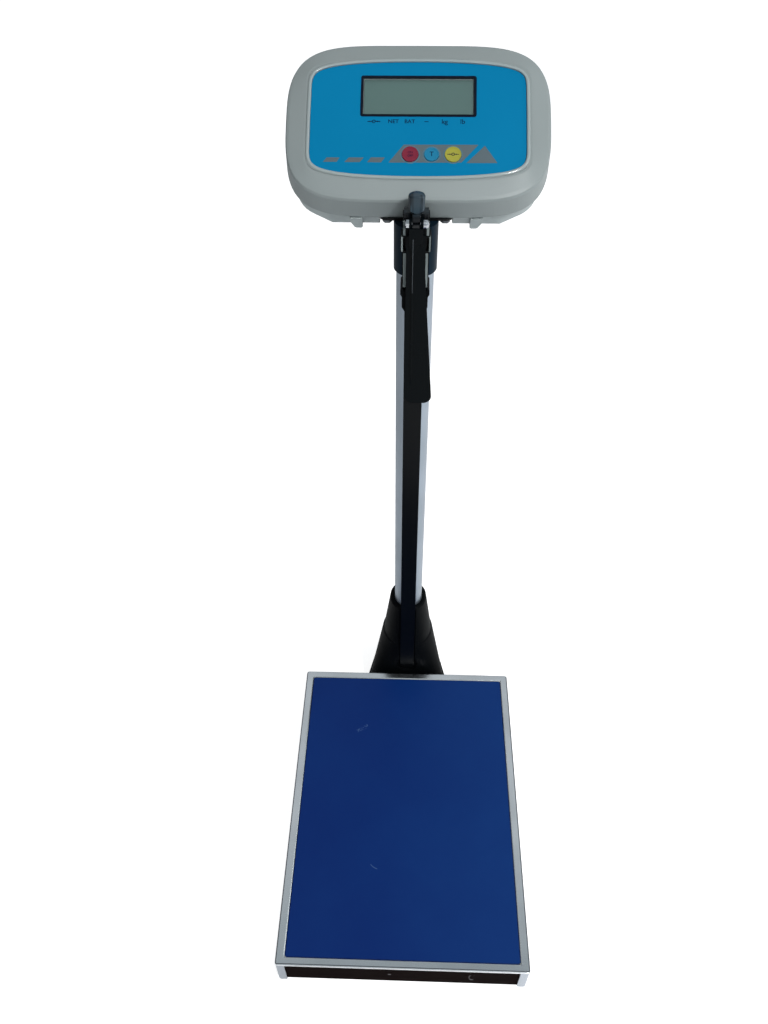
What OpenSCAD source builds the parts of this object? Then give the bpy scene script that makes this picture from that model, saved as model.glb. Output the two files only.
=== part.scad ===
// Platform scale for people, with a column, a tilted display and a folding height gauge.
// Millimetres, +Z up, +X to the right, the user steps on from the -Y side.
// The origin is the centre of the standing surface, so Z reads as height above it.

/* [Platform] */
// Width of the platform
platform_w = 275; // [240:1:320]
// Depth of the platform
platform_d = 375; // [320:1:450]
// Height of the steel pan's side skirts
pan_skirt_h = 48; // [44:0.5:50]
// Sheet thickness of the pan
pan_t = 1.2; // [0.8:0.1:1.6]
// Visible steel rim at the left and right of the mat
rim_side_w = 10; // [7:0.5:20]
// Visible steel rim at the front and rear of the mat
rim_end_w = 8.8; // [7:0.5:20]
// How far the rim stands above the mat
rim_proud = 0.4; // [0.2:0.1:1]
// Width of the bent corner returns at the front and rear
corner_tab_w = 10; // [6:0.5:18]
// Height of the folded lip between the corner returns
lip_h = 3.6; // [2:0.1:8]
// Radius of the pan's upright corners
pan_corner_r = 3; // [2:0.5:6]
// Thickness of the mat
mat_t = 1.8; // [1:0.1:3]
// Radius of the mat's corners
mat_corner_r = 1.6; // [1:0.2:6]

/* [Base] */
// Gap between the pan and the frame, all round
frame_gap = 0.8; // [0.5:0.1:2]
// Wall of the welded base frame
frame_t = 2.5; // [2:0.1:4]
// Width of the frame's inward bottom flange
frame_flange_w = 30; // [26:1:45]
// Width of the cross member under the load cell
cross_w = 76; // [60:1:110]
// Thickness of the rubber pads under the pan
pad_t = 3; // [2:0.5:5]
// Diameter of the rubber pads under the pan
pad_d = 22; // [14:1:30]
// Height of the upper carrier's channel
carrier_h = 12; // [10:1:16]
// Width of the upper carrier's rails
carrier_rail_w = 26; // [20:1:40]
// Distance of each carrier rail from the middle
carrier_rail_x = 88; // [60:1:100]
// Sheet of the upper carrier
carrier_t = 2; // [1.5:0.1:3]
// Length of the load cell
cell_l = 130; // [120:1:150]
// Width of the load cell
cell_w = 30; // [24:1:40]
// Height of the load cell
cell_h = 22; // [18:0.5:24]
// Thickness of the spacers on both sides of the load cell
spacer_t = 2; // [1.5:0.5:4]
// Height of the rubber feet
foot_h = 10; // [6:0.5:16]
// Diameter of the rubber feet
foot_d = 28; // [22:1:34]

/* [Column] */
// Width of the oval column
column_w = 35; // [30:0.5:40]
// Depth of the oval column
column_dp = 40; // [36:0.5:46]
// Wall of the column
column_wall = 1.8; // [1.4:0.1:2.6]
// Distance of the column's axis behind the platform
column_back = 45; // [42:0.5:60]
// Height of the column's top above the standing surface
column_top = 640.5; // [600:1:700]
// Height of the column's lower end above the foot plate
column_seat_h = 34; // [28:1:40]
// Height of the column boot's top above the standing surface
boot_top = 118; // [100:1:140]
// Width of the boot's foot at the platform
boot_foot_w = 114; // [96:1:124]
// Width of the boot's foot at the rear
boot_rear_w = 79; // [70:1:96]
// Height of the boot's waist, where its flanks turn outwards
boot_waist = 51; // [35:1:70]
// Wall of the boot's collar round the column
collar_wall = 6.6; // [4:0.1:8]
// Thickness of the frame's bottom sheet and of the foot plate that carries the boot
plate_t = 4; // [3:0.5:6]
// Wall of the black top sleeve
sleeve_wall = 2.2; // [1.6:0.1:3]
// Length of the black top sleeve
sleeve_l = 46; // [40:1:60]

/* [Height gauge] */
// Width of the outer rod
rod_w = 18.4; // [16:0.1:24]
// Depth of the outer rod
rod_dp = 13; // [11:0.5:14]
// Wall of the outer rod
rod_wall = 1.2; // [1:0.1:1.6]
// Play between sliding flats of the gauge
slide_gap = 0.3; // [0.2:0.05:0.5]
// Wall of the inner rod
inner_wall = 1.2; // [0.8:0.1:1.6]
// Height of the outer rod's lower end above the standing surface
rod_bottom = 2.5; // [0:0.5:20]
// Wall of the rod guides
guide_wall = 2; // [1.8:0.1:3]
// Height of the upper rod guide
upper_guide_h = 61; // [50:1:64]
// Height of the lower rod guide
lower_guide_h = 23; // [18:1:30]
// Length of the folding arm from its pivot
arm_l = 187; // [150:1:200]
// Width of the arm at its pivot
arm_top_w = 16.6; // [15:0.1:20]
// Width of the arm at its free end
arm_end_w = 26.4; // [20:0.1:30]
// Thickness of the arm's blade
arm_t = 3; // [2.5:0.1:4]
// Diameter of the arm's pivot screw
pivot_d = 4; // [3:0.5:5]
// Height of the grip on the inner rod's head
grip_h = 16; // [12:0.5:30]
// Diameter of the grip
grip_d = 14.2; // [11:0.1:16]

/* [Display head] */
// Width of the display case's front face
head_w = 230; // [215:1:250]
// Height of the display case's front face
head_h = 148.8; // [140:1:165]
// Slope of the front face above the horizontal
face_angle = 35; // [30:1:45]
// Depth of the front shell
front_depth = 28; // [26:0.5:32]
// Depth of the rear shell
rear_depth = 30; // [28:0.5:36]
// Wall of the case
case_wall = 2.5; // [2:0.1:3]
// Width of the blue keypad panel
panel_w = 186; // [170:1:196]
// Height of the blue keypad panel
panel_h = 108; // [100:1:114]
// Thickness of the keypad panel
panel_t = 1.2; // [0.8:0.1:1.6]
// Width of the black display frame
display_w = 99; // [80:1:110]
// Height of the black display frame
display_h = 38; // [32:1:42]
// Width of the black border round the display
display_border = 1.8; // [1.2:0.1:3]
// Diameter of the outer keys
key_d = 14; // [11:0.1:15]
// Diameter of the middle key
mid_key_d = 12.6; // [10:0.1:15]
// Distance between the keys' centres
key_pitch = 18.3; // [16.5:0.1:22]
// Height that the keys stand above the panel
key_proud = 0.9; // [0.4:0.1:1.5]
// Gap round the keys
key_gap = 0.25; // [0.15:0.05:0.4]
// Travel of the keys
key_travel = 0.8; // [0.5:0.1:1.2]
// Thickness of the circuit board
board_t = 1.6; // [1:0.1:2]

/* [Head bracket] */
// Width of the bracket's flange
flange_w = 64; // [58:1:70]
// Depth of the bracket's flange
flange_dp = 52; // [46:1:58]
// Thickness of the bracket's flange
flange_t = 2; // [1.6:0.1:3]
// Length of the bracket's stub inside the column
stub_l = 58; // [40:1:80]

/* [Fasteners] */
// Play between a screw and its hole, on the diameter
screw_play = 0.2; // [0.1:0.05:0.4]
// Diameter of the boot's bolts
boot_bolt_d = 8; // [6:0.5:10]
// Diameter of the load cell's bolts
cell_bolt_d = 6; // [5:0.5:8]
// Diameter of the flange's bolts
flange_bolt_d = 5; // [4:0.5:6]
// Diameter of the small case screws
case_screw_d = 3; // [2.5:0.1:4]

/* [Hidden] */

eps = 0.01;
far = 400;
fine = 64;
black = "#17191d";
steel = "#b9bcbd";
plastic_grey = "#8f9a98";

// Heights of the platform's layers, from the standing surface down
mat_bottom = -mat_t;
pan_bottom = mat_bottom - pan_t;
carrier_top = pan_bottom - pad_t;
carrier_bottom = carrier_top - carrier_h;
cell_top = carrier_bottom - spacer_t;
cell_bottom = cell_top - cell_h;
plate_top = cell_bottom - spacer_t;
frame_bottom = plate_top - plate_t;
floor_z = frame_bottom - foot_h;
skirt_bottom = rim_proud - pan_skirt_h;

// Plan of the base
frame_w = platform_w - 2 * (pan_t + frame_gap);
frame_d = platform_d - 2 * (pan_t + frame_gap);
frame_wall_top = pan_bottom - 2.2;
foot_x = frame_w / 2 - frame_t - foot_d / 2;
foot_y = frame_d / 2 - frame_t - foot_d / 2;
foot_screw_d = 5;
foot_head_h = 3;
foot_nut_h = 4;
bevel = 1.2;
pad_y = platform_d / 2 - 48;
pad_stem_d = 6;
front_slots = [-14.5, 71.6];
front_slot_z = -19.5;

// Load cell's bolts: two at each end, in line
cell_hole_inset = 12;
cell_hole_pitch = 22;
cell_end_y = cell_l / 2 - cell_hole_inset - cell_hole_pitch / 2;
cell_bore_d = cell_h * 0.66;
cell_bore_y = cell_bore_d * 0.72;
spacer_l = cell_hole_pitch + 2 * cell_hole_inset;
carrier_plate_d = spacer_l + 22;

// Column line
column_y = platform_d / 2 + column_back;
column_seat = plate_top + column_seat_h;
column_front = column_y - column_dp / 2;
column_rear = column_y + column_dp / 2;
boot_front = platform_d / 2 + 2;
boot_rear = column_y + 50;
boot_base_h = 7;
boot_corner_r = 9;
boot_swell = 16;
boot_bolt_x = [38, 27];
boot_bolt_y = [boot_front + 13, boot_rear - 13];
boot_bolt_l = 22;
socket_play = 0.2;
column_screw_d = 5;
column_screw_z = [(column_seat + boot_top) / 2 - 16, boot_top - 14];
column_screw_seat = column_rear + collar_wall - 2.4;
screw_tip = 2;
channel_d = 4;
channel_x = column_w / 2 - column_wall - channel_d / 2;
channel_wall = 0.6;

// Rod line
rod_back_gap = 3.6;
rod_y = column_front - rod_back_gap - rod_dp / 2;
rod_front = rod_y - rod_dp / 2;
rod_back = rod_y + rod_dp / 2;
inner_w = rod_w - 2 * rod_wall - 2 * slide_gap;
inner_dp = rod_dp - 2 * rod_wall - 2 * slide_gap;
plug_fit = 0.1;
core_w = inner_w - 2 * inner_wall - 2 * plug_fit;
core_dp = inner_dp - 2 * inner_wall - 2 * plug_fit;
shoulder_w = 21;
rod_foot_r = rod_w / 2;
groove_gap = 1;
rod_tube_bottom = rod_bottom + rod_foot_r;
rod_foot_l = 14;
inner_bottom = rod_tube_bottom + rod_foot_l + 4;
inner_plug_h = 3;

// Top of the column
sleeve_top = column_top + sleeve_wall;
sleeve_bottom = sleeve_top - sleeve_l;
flange_bottom = sleeve_top;
flange_top = flange_bottom + flange_t;
rod_top = flange_top;
stub_w = 2 * (channel_x - channel_d / 2 - channel_wall - socket_play);
stub_dp = column_dp - 2 * column_wall - 9;
stub_t = 2.5;
upper_guide_bottom = sleeve_bottom;
upper_guide_top = upper_guide_bottom + upper_guide_h;
lower_guide_top = upper_guide_bottom - 2;
lower_guide_bottom = lower_guide_top - lower_guide_h;
guide_w = rod_w + 2 * slide_gap + 2 * guide_wall;
guide_lip = 1.9;
guide_front = rod_front - slide_gap - guide_lip;
guide_mouth = 13;
band_proud = 1.8;
band_h = 15;
band_z = upper_guide_bottom + 33.5;
guide_screw_d = 3;
guide_screw_z = [upper_guide_bottom + 9, upper_guide_bottom + 36, (lower_guide_bottom + lower_guide_top) / 2];
guide_screw_seat = rod_back + slide_gap + 1.6;

// Arm and its pivot
ear_r = 5;
ear_t = 2.4;
ear_gap = 0.2;
lug_w = 6.8;
lug_r = ear_r - 0.4;
ear_x = lug_w / 2 + ear_gap;
fork_x = ear_x + ear_t;
arm_gap = 0.8;
pivot_play = 0.1;
pivot_y = rod_y - inner_dp / 2 - ear_r - 0.5;
pivot_z = rod_top + 12.5;
head_base_h = 6;
head_neck_h = 19.5;
arm_back = guide_front - arm_gap;
arm_front = arm_back - arm_t;
arm_top = pivot_z - ear_r - 3.4;
arm_tip = pivot_z - arm_l;
arm_corner = 8;
arm_rib = 2.4;
rib_x = -2.4;
rib_t = 1.6;
fork_web = 2.2;
screw_head_r = 3.8;
screw_head_h = 5;
pivot_nut_h = 2.6;

// Display case, worked out in the slope of its face
draft = 1.8;
bezel_drop = 3.6;
panel_lip_w = 3.2;
panel_lip_h = 1;
panel_play = 0.15;
lower_edge_y = column_y - 4.3;
lower_edge_v = head_h / 2 + draft;
face_y = lower_edge_y + lower_edge_v * cos(face_angle) - front_depth * sin(face_angle);
face_z = flange_top + 0.2 + lower_edge_v * sin(face_angle) + front_depth * cos(face_angle);
case_back = -front_depth - rear_depth;
shelf_t = 2.2;
shelf_bottom = -panel_t - shelf_t;
display_v = 21.5;
window_w = display_w - 2 * display_border;
window_h = display_h - 2 * display_border;
key_v = -33.5;
mid_key_u = 12;
keys = [[mid_key_u - key_pitch, key_d], [mid_key_u, mid_key_d], [mid_key_u + key_pitch, key_d]];
key_rim = 1.3;
key_rim_t = 1.2;
key_stem_r = 2;
switch_h = 4;
switch_w = 6.4;
board_front = shelf_bottom - key_rim_t - switch_h;
board_back = board_front - board_t;
board_w = panel_w - 26;
board_low = 7 - head_h / 2;
board_high = head_h / 2 - 30;
board_screw_d = 2;
post_r = 3.5;
board_posts = [for (sx = [-1, 1], v = [board_low + 8, board_high - 6]) [sx * (board_w / 2 - 6), v]];
boss_r = case_screw_d / 2 + 2.6;
case_screw_x = head_w / 2 - 21;
case_screw_v = head_h / 2 - 25;
case_screw_seat = case_back + 13;
case_thread = 12;
inlet_u = 62;
inlet_v = 8;
inlet_d = 9;
plug_w = 14;
plug_d = 9;
plug_h = 7;
plug_mid = board_back - plug_h / 2;
plug_v = (column_y - face_y + plug_mid * sin(face_angle)) / cos(face_angle);
edge_low_w = 75;
edge_top_w = 84;
edge_v = head_h / 2 - 2.8;
foot_lug_u = 53;
foot_lug_w = 10.5;
foot_lug_v = -head_h / 2 - 1.6;
battery_w = 96;
battery_l = 50;
battery_t = 22;
battery_seat = case_back + case_wall + 0.1;
battery_v = 26;

// Flange under the case
flange_front = lower_edge_y - 1.5;
flange_bolt_x = flange_w / 2 - 6.5;
flange_bolt_y = [flange_front + 6.5, flange_front + flange_dp - 8];
flange_bolt_l = 8;
notch_w = flange_w + 1;
cable_d = 4;
cable_bend = 12;
cable_hole_d = cable_d + 3;
cable_z = (cell_top + cell_bottom) / 2;
cable_top = face_z + plug_v * sin(face_angle) + plug_mid * cos(face_angle)
    - plug_h / 2 / cos(face_angle) - cable_d / 2 * tan(face_angle) - 0.1;

// Closed curve with its own exponent along each axis, which gives the barrel outlines
function barrel(a, b, p, q, n = 96) = [for (i = [0:n - 1])
    let (c = cos(i * 360 / n), s = sin(i * 360 / n))
    [a * sign(c) * pow(abs(c), 2 / p), b * sign(s) * pow(abs(s), 2 / q)]];

module panel_2d(grow = 0) polygon(barrel(panel_w / 2 + grow, panel_h / 2 + grow, 2.08, 10.8));

module case_2d(grow = 0, p = 4.9, q = 3.25) polygon(barrel(head_w / 2 + grow, head_h / 2 + grow, p, q));

// Places its children on the slope of the display's face
module on_face() translate([0, face_y, face_z]) rotate([face_angle, 0, 0]) children();

module slab(z0, z1) translate([0, 0, z0]) linear_extrude(z1 - z0) children();

module box(x0, x1, y0, y1, z0, z1) translate([x0, y0, z0]) cube([x1 - x0, y1 - y0, z1 - z0]);

// Profile in the YZ plane, drawn out along X from one side to the other
module across(x0, x1) translate([x0, 0, 0]) rotate([90, 0, 90]) linear_extrude(x1 - x0) children();

// Profile in the XZ plane, drawn out from y0 back to y1
module along(y0, y1) translate([0, y1, 0]) rotate([90, 0, 0]) linear_extrude(y1 - y0) children();

module pole(d, z0, z1) translate([0, 0, z0]) cylinder(d = d, h = z1 - z0, $fn = fine);

// Oval of a given width and depth: two arcs joined by straight flanks
module oval(w, dp) {
    shift = (dp - w) / 2;
    for (s = [-1, 1]) translate([0, s * shift]) circle(d = w, $fn = fine);
    translate([-w / 2, -shift]) square([w, 2 * shift]);
}

module rounded_rect(w, d, r) {
    for (sx = [-1, 1], sy = [-1, 1]) translate([sx * (w / 2 - r), sy * (d / 2 - r)]) circle(r = r, $fn = fine);
    square([w - 2 * r, d], center = true);
    square([w, d - 2 * r], center = true);
}

// Screw along +Z with its seat at Z = 0 and the head below
module screw(d, l, head_d, head_h, sides = fine) {
    cylinder(d = d, h = l, $fn = fine);
    difference() {
        translate([0, 0, -head_h]) cylinder(d = head_d, h = head_h, $fn = sides);
        // Round heads have a cross recess
        if (sides == fine) for (a = [0, 90]) rotate([0, 0, a])
            translate([-head_d * 0.28, -head_d * 0.07, -head_h - 1]) cube([head_d * 0.56, head_d * 0.14, head_h * 0.6 + 1]);
    }
}

module at_corners(x, y) for (sx = [-1, 1], sy = [-1, 1]) translate([sx * x, sy * y, 0]) children();

module at_cell_bolts(side) for (i = [0, 1])
    translate([0, side * (cell_l / 2 - cell_hole_inset - i * cell_hole_pitch), 0]) children();

module at_boot_bolts() for (sx = [-1, 1], i = [0, 1]) translate([sx * boot_bolt_x[i], boot_bolt_y[i], 0]) children();

module at_flange_bolts() for (sx = [-1, 1], y = flange_bolt_y) translate([sx * flange_bolt_x, y, 0]) children();

module at_posts() for (p = board_posts) translate([p[0], p[1], 0]) children();

// Welded frame: upright walls, an inward bottom flange, the cross member and the foot plate
module base_frame() color("#2b1d1a") difference() {
    plate_front = boot_foot_w / 2 - 2;
    plate_rear = boot_rear_w / 2 - 2;
    plate_end = boot_rear - 2;
    union() {
        difference() {
            slab(frame_bottom, frame_wall_top) square([frame_w, frame_d], center = true);
            slab(frame_bottom - 1, frame_wall_top + 1)
                square([frame_w - 2 * frame_t, frame_d - 2 * frame_t], center = true);
        }
        difference() {
            slab(frame_bottom, plate_top) square([frame_w, frame_d], center = true);
            slab(frame_bottom - 1, plate_top + 1)
                square([frame_w - 2 * frame_flange_w, frame_d - 2 * frame_flange_w], center = true);
        }
        slab(frame_bottom, plate_top) translate([0, cell_end_y]) square([frame_w, cross_w], center = true);
        for (s = [-1, 1])
            slab(frame_bottom, plate_top + 10) translate([0, cell_end_y + s * (cross_w - frame_t) / 2])
                square([frame_w, frame_t], center = true);
        slab(frame_bottom, plate_top) polygon([[-plate_front, frame_d / 2 - frame_t], [plate_front, frame_d / 2 - frame_t],
            [plate_rear, plate_end - 8], [plate_rear - 8, plate_end], [8 - plate_rear, plate_end],
            [-plate_rear, plate_end - 8]]);
    }
    // Clear run for the load cell over the cross member's turned-up edges
    slab(plate_top, far) translate([0, cell_end_y]) square([cell_w + 6, cross_w + 2], center = true);
    at_cell_bolts(1) pole(cell_bolt_d + screw_play, frame_bottom - 1, plate_top + 1);
    at_corners(foot_x, foot_y) pole(foot_screw_d + screw_play, frame_bottom - 1, plate_top + 1);
    at_boot_bolts() pole(boot_bolt_d + screw_play, frame_bottom - 1, plate_top + 1);
    along(frame_d / 2 - frame_t - 1, frame_d / 2 + 1) translate([0, cable_z])
        circle(d = cable_hole_d, $fn = fine);
    for (x = front_slots) along(-frame_d / 2 - 1, -frame_d / 2 + frame_t + 1)
        translate([x, front_slot_z]) rounded_rect(7, 2.4, 1.1);
}

// One rubber foot, tapered, with a recess for its screw head
module foot(sx, sy) color(black) translate([sx * foot_x, sy * foot_y, floor_z]) difference() {
    rotate_extrude($fn = fine) polygon([[0, 0], [foot_d / 2 - 3, 0], [foot_d / 2 - 1.4, 1.2],
        [foot_d / 2, foot_h - 1], [foot_d / 2 - 1, foot_h], [0, foot_h]]);
    pole(foot_screw_d + screw_play, -1, foot_h + 1);
    pole(2 * foot_screw_d + 0.6, -1, foot_head_h + 1);
}

module foot_front_left() foot(-1, -1);
module foot_front_right() foot(1, -1);
module foot_rear_left() foot(-1, 1);
module foot_rear_right() foot(1, 1);

// Screws that hold the feet, each with its nut on the frame's flange
module foot_screws() color(steel) at_corners(foot_x, foot_y) {
    translate([0, 0, floor_z + 1 + foot_head_h])
        screw(foot_screw_d, foot_h - 1 - foot_head_h + plate_t + foot_nut_h + 0.8, 2 * foot_screw_d, foot_head_h);
    translate([0, 0, plate_top]) cylinder(d = 9, h = foot_nut_h, $fn = 6);
}

// Distance plate between the load cell's end and what it is bolted to
module spacer(z, side) color(steel) difference() {
    slab(z, z + spacer_t) translate([0, side * cell_end_y]) square([cell_w, spacer_l], center = true);
    at_cell_bolts(side) pole(cell_bolt_d + screw_play, z - 1, z + spacer_t + 1);
}

module lower_spacer() spacer(plate_top, 1);
module upper_spacer() spacer(cell_top, -1);

// Bending bar with the twin bores that make its thin measuring webs
module load_cell() color("#c9ccd0") difference() {
    slab(cell_bottom, cell_top) square([cell_w, cell_l], center = true);
    across(-cell_w / 2 - 1, cell_w / 2 + 1) {
        for (s = [-1, 1]) translate([s * cell_bore_y, (cell_top + cell_bottom) / 2])
            circle(d = cell_bore_d, $fn = fine);
        translate([0, (cell_top + cell_bottom) / 2]) square([2 * cell_bore_y, cell_bore_d / 2], center = true);
    }
    for (side = [-1, 1]) at_cell_bolts(side)
        pole(cell_bolt_d + screw_play, cell_bottom - 1, cell_top + 1);
}

// Bolts from under the cross member into the cell's fixed end
module cell_bolts_lower() color(steel) at_cell_bolts(1) translate([0, 0, frame_bottom])
    screw(cell_bolt_d, plate_t + spacer_t + cell_h - 6, cell_bolt_d * 1.7, 3.4, 6);

// Bolts from the carrier's plate into the cell's loaded end
module cell_bolts_upper() color(steel) at_cell_bolts(-1) translate([0, 0, carrier_bottom + carrier_t])
    mirror([0, 0, 1]) screw(cell_bolt_d, carrier_t + spacer_t + cell_h - 6, cell_bolt_d * 1.7, 3.4, 6);

// Carrier between the cell's loaded end and the pan: two rails and a cross plate of folded sheet
module upper_carrier() color("#3a3d42") {
    rail_l = 2 * pad_y + pad_d + 10;
    rail_in = carrier_rail_x - carrier_rail_w / 2;
    difference() {
        union() {
            for (s = [-1, 1]) translate([s * carrier_rail_x, 0, 0]) difference() {
                slab(carrier_bottom, carrier_top) square([carrier_rail_w, rail_l], center = true);
                slab(carrier_bottom - 1, carrier_top - carrier_t)
                    square([carrier_rail_w - 2 * carrier_t, rail_l + 2], center = true);
            }
            difference() {
                slab(carrier_bottom, carrier_top - carrier_t) translate([0, -cell_end_y])
                    square([2 * rail_in + carrier_t, carrier_plate_d], center = true);
                slab(carrier_bottom + carrier_t, carrier_top + 1) translate([0, -cell_end_y])
                    square([2 * rail_in, carrier_plate_d - 2 * carrier_t], center = true);
            }
        }
        at_cell_bolts(-1) pole(cell_bolt_d + screw_play, carrier_bottom - 1, carrier_bottom + carrier_t + 1);
        at_corners(carrier_rail_x, pad_y)
            pole(pad_stem_d + screw_play, carrier_top - carrier_t - 1, carrier_top + 1);
    }
}

// Rubber pads with a stem plugged into the carrier
module pan_pads() color(black) at_corners(carrier_rail_x, pad_y) {
    pole(pad_d, carrier_top, carrier_top + pad_t);
    pole(pad_stem_d, carrier_top - carrier_t - 2, carrier_top + 1);
}

// Bright steel pan: rim, pressed-down seat for the mat, side skirts and corner returns
module platform_pan() color(steel) {
    tray_w = platform_w - 2 * rim_side_w;
    tray_d = platform_d - 2 * rim_end_w;
    difference() {
        union() {
            difference() {
                slab(skirt_bottom, rim_proud) rounded_rect(platform_w, platform_d, pan_corner_r);
                slab(skirt_bottom - 1, rim_proud - pan_t)
                    rounded_rect(platform_w - 2 * pan_t, platform_d - 2 * pan_t, pan_corner_r - 0.6);
            }
            slab(pan_bottom, rim_proud - bevel)
                rounded_rect(tray_w + 2 * (pan_t + bevel), tray_d + 2 * (pan_t + bevel), mat_corner_r + pan_t);
        }
        slab(mat_bottom, rim_proud + 1) rounded_rect(tray_w, tray_d, mat_corner_r);
        // Bevel round the seat
        for (s = [-1, 1]) along(-tray_d / 2 - bevel, tray_d / 2 + bevel) polygon([[s * tray_w / 2, rim_proud - bevel],
            [s * (tray_w / 2 + 2 * bevel), rim_proud + bevel], [s * tray_w / 2, rim_proud + bevel]]);
        for (s = [-1, 1]) across(-tray_w / 2 - bevel, tray_w / 2 + bevel) polygon([[s * tray_d / 2, rim_proud - bevel],
            [s * (tray_d / 2 + 2 * bevel), rim_proud + bevel], [s * tray_d / 2, rim_proud + bevel]]);
        // The skirts at the front and rear end in a lip, between the corner returns
        slab(skirt_bottom - 1, rim_proud - lip_h) for (s = [-1, 1]) translate([0, s * platform_d / 2])
            square([platform_w - 2 * corner_tab_w, 2 * pan_corner_r], center = true);
    }
}

// Mat let into the pan
module platform_mat() color("#16337c") {
    w = platform_w - 2 * rim_side_w - 0.4;
    d = platform_d - 2 * rim_end_w - 0.4;
    edge = 0.4;
    slab(mat_bottom, -edge) rounded_rect(w, d, mat_corner_r);
    slab(-edge - eps, 0) rounded_rect(w - 2 * edge, d - 2 * edge, mat_corner_r);
}

// Plan of the boot's foot, widest at the platform
module boot_plan(inset, r) hull() for (s = [-1, 1]) {
    translate([s * (boot_foot_w / 2 - inset - r), boot_front + inset + r]) circle(r = r, $fn = 32);
    translate([s * (boot_rear_w / 2 - inset - r), boot_rear - inset - r]) circle(r = r, $fn = 32);
}

// Moulded boot: wide foot, sloping flanks, a shoulder at the waist and a collar round the column
module column_boot() color(black) {
    collar_w = column_w + 2 * collar_wall;
    collar_dp = column_dp + 2 * collar_wall;
    rod_pocket = rod_back + groove_gap;
    difference() {
        union() {
            hull() {
                slab(boot_top - 1, boot_top) translate([0, column_y]) oval(collar_w - 5, collar_dp - 5);
                slab(boot_top - 3, boot_top - 2) translate([0, column_y]) oval(collar_w - 1.4, collar_dp - 1.4);
                slab(boot_top - 8, boot_top - 7) translate([0, column_y]) oval(collar_w, collar_dp);
                slab(boot_waist - 4, boot_waist - 3) translate([0, column_y])
                    oval(collar_w + boot_swell, collar_dp + boot_swell);
            }
            hull() {
                slab(boot_waist + 1, boot_waist + 2) translate([0, column_y])
                    oval(collar_w + boot_swell - 1, collar_dp + boot_swell - 4);
                slab(boot_waist - 3, boot_waist - 2) translate([0, column_y])
                    oval(collar_w + boot_swell + 3, collar_dp + boot_swell + 1);
                slab(plate_top + 4, plate_top + 5) boot_plan(4, 14);
            }
            slab(plate_top, plate_top + boot_base_h) boot_plan(0, boot_corner_r);
        }
        // Socket for the column, and below it a smaller chamber for the cable
        slab(column_seat, boot_top + 1) translate([0, column_y])
            oval(column_w + 2 * socket_play, column_dp + 2 * socket_play);
        slab(plate_top + 5, column_seat + 1) translate([0, column_y])
            oval(column_w - 2 * column_wall - 2, column_dp - 2 * column_wall - 2);
        along(boot_front - 20, column_y) translate([0, cable_z]) circle(d = cable_hole_d, $fn = fine);
        // Front groove in which the rod stands, with a round pocket at its foot
        slab(rod_tube_bottom, boot_top + 1) translate([-rod_w / 2 - groove_gap, boot_front - 20])
            square([rod_w + 2 * groove_gap, rod_pocket - boot_front + 20]);
        along(boot_front - 20, rod_pocket) translate([0, rod_tube_bottom])
            circle(r = rod_w / 2 + groove_gap, $fn = fine);
        along(boot_front - 20, rod_front + 2) translate([0, rod_tube_bottom])
            circle(r = rod_w / 2 + groove_gap + 3.6, $fn = fine);
        at_boot_bolts() pole(boot_bolt_d + screw_play, plate_top - 1, plate_top + boot_bolt_l);
        for (z = column_screw_z) {
            along(column_rear - column_wall - 2, far) translate([0, z])
                circle(d = column_screw_d + screw_play, $fn = fine);
            along(column_screw_seat, far) translate([0, z]) circle(d = 2 * column_screw_d + 1, $fn = fine);
        }
    }
}

module boot_bolts() color(steel) at_boot_bolts() translate([0, 0, frame_bottom])
    screw(boot_bolt_d, plate_t + boot_bolt_l - 2, boot_bolt_d * 1.6, 4.5, 6);

// Oval extrusion with two screw channels inside
module column_tube() color("#c4cdd6") difference() {
    slab(column_seat, column_top) translate([0, column_y]) difference() {
        oval(column_w, column_dp);
        difference() {
            oval(column_w - 2 * column_wall, column_dp - 2 * column_wall);
            for (s = [-1, 1]) translate([s * channel_x, 0]) square([channel_d + 2 * channel_wall, channel_d + 3], center = true);
        }
        for (s = [-1, 1]) translate([s * channel_x, 0]) circle(d = channel_d, $fn = fine);
    }
    for (z = column_screw_z) along(column_rear - column_wall - 2, column_rear + 1) translate([0, z])
        circle(d = column_screw_d + screw_play, $fn = fine);
    for (z = guide_screw_z) along(column_front - 1, column_front + column_wall + 1) translate([0, z])
        circle(d = guide_screw_d + screw_play, $fn = fine);
}

// Screws through the boot's back into the column
module column_screws() color(steel) for (z = column_screw_z)
    translate([0, column_screw_seat, z]) rotate([90, 0, 0])
        screw(column_screw_d, column_screw_seat - column_rear + column_wall + screw_tip, 2 * column_screw_d, 3.2);

// Cable from the load cell, through the boot and up the column to the board
module signal_cable() color("#26282b") {
    turn_y = column_y - cable_bend;
    along(cell_l / 2, turn_y) translate([0, cable_z]) circle(d = cable_d, $fn = 24);
    translate([0, turn_y, cable_z + cable_bend]) rotate([0, 90, 0])
        rotate_extrude(angle = 90, $fn = 48) translate([cable_bend, 0]) circle(d = cable_d, $fn = 24);
    translate([0, column_y, cable_z + cable_bend])
        cylinder(d = cable_d, h = cable_top - cable_z - cable_bend, $fn = 24);
}

// Black cap over the column's top, with an open front for the rod's guide
module top_sleeve() color(black) {
    w = column_w + 2 * socket_play;
    dp = column_dp + 2 * socket_play;
    difference() {
        slab(sleeve_bottom, sleeve_top) translate([0, column_y]) oval(w + 2 * sleeve_wall, dp + 2 * sleeve_wall);
        slab(sleeve_bottom - 1, column_top) translate([0, column_y]) oval(w, dp);
        slab(sleeve_bottom - 1, sleeve_top + 1) translate([0, column_y])
            rounded_rect(stub_w + 2 * socket_play, stub_dp + 2 * socket_play, 3);
        slab(sleeve_bottom - 1, sleeve_top + 1) translate([0, column_front])
            square([guide_w + 2 * socket_play, 12], center = true);
    }
}

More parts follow.
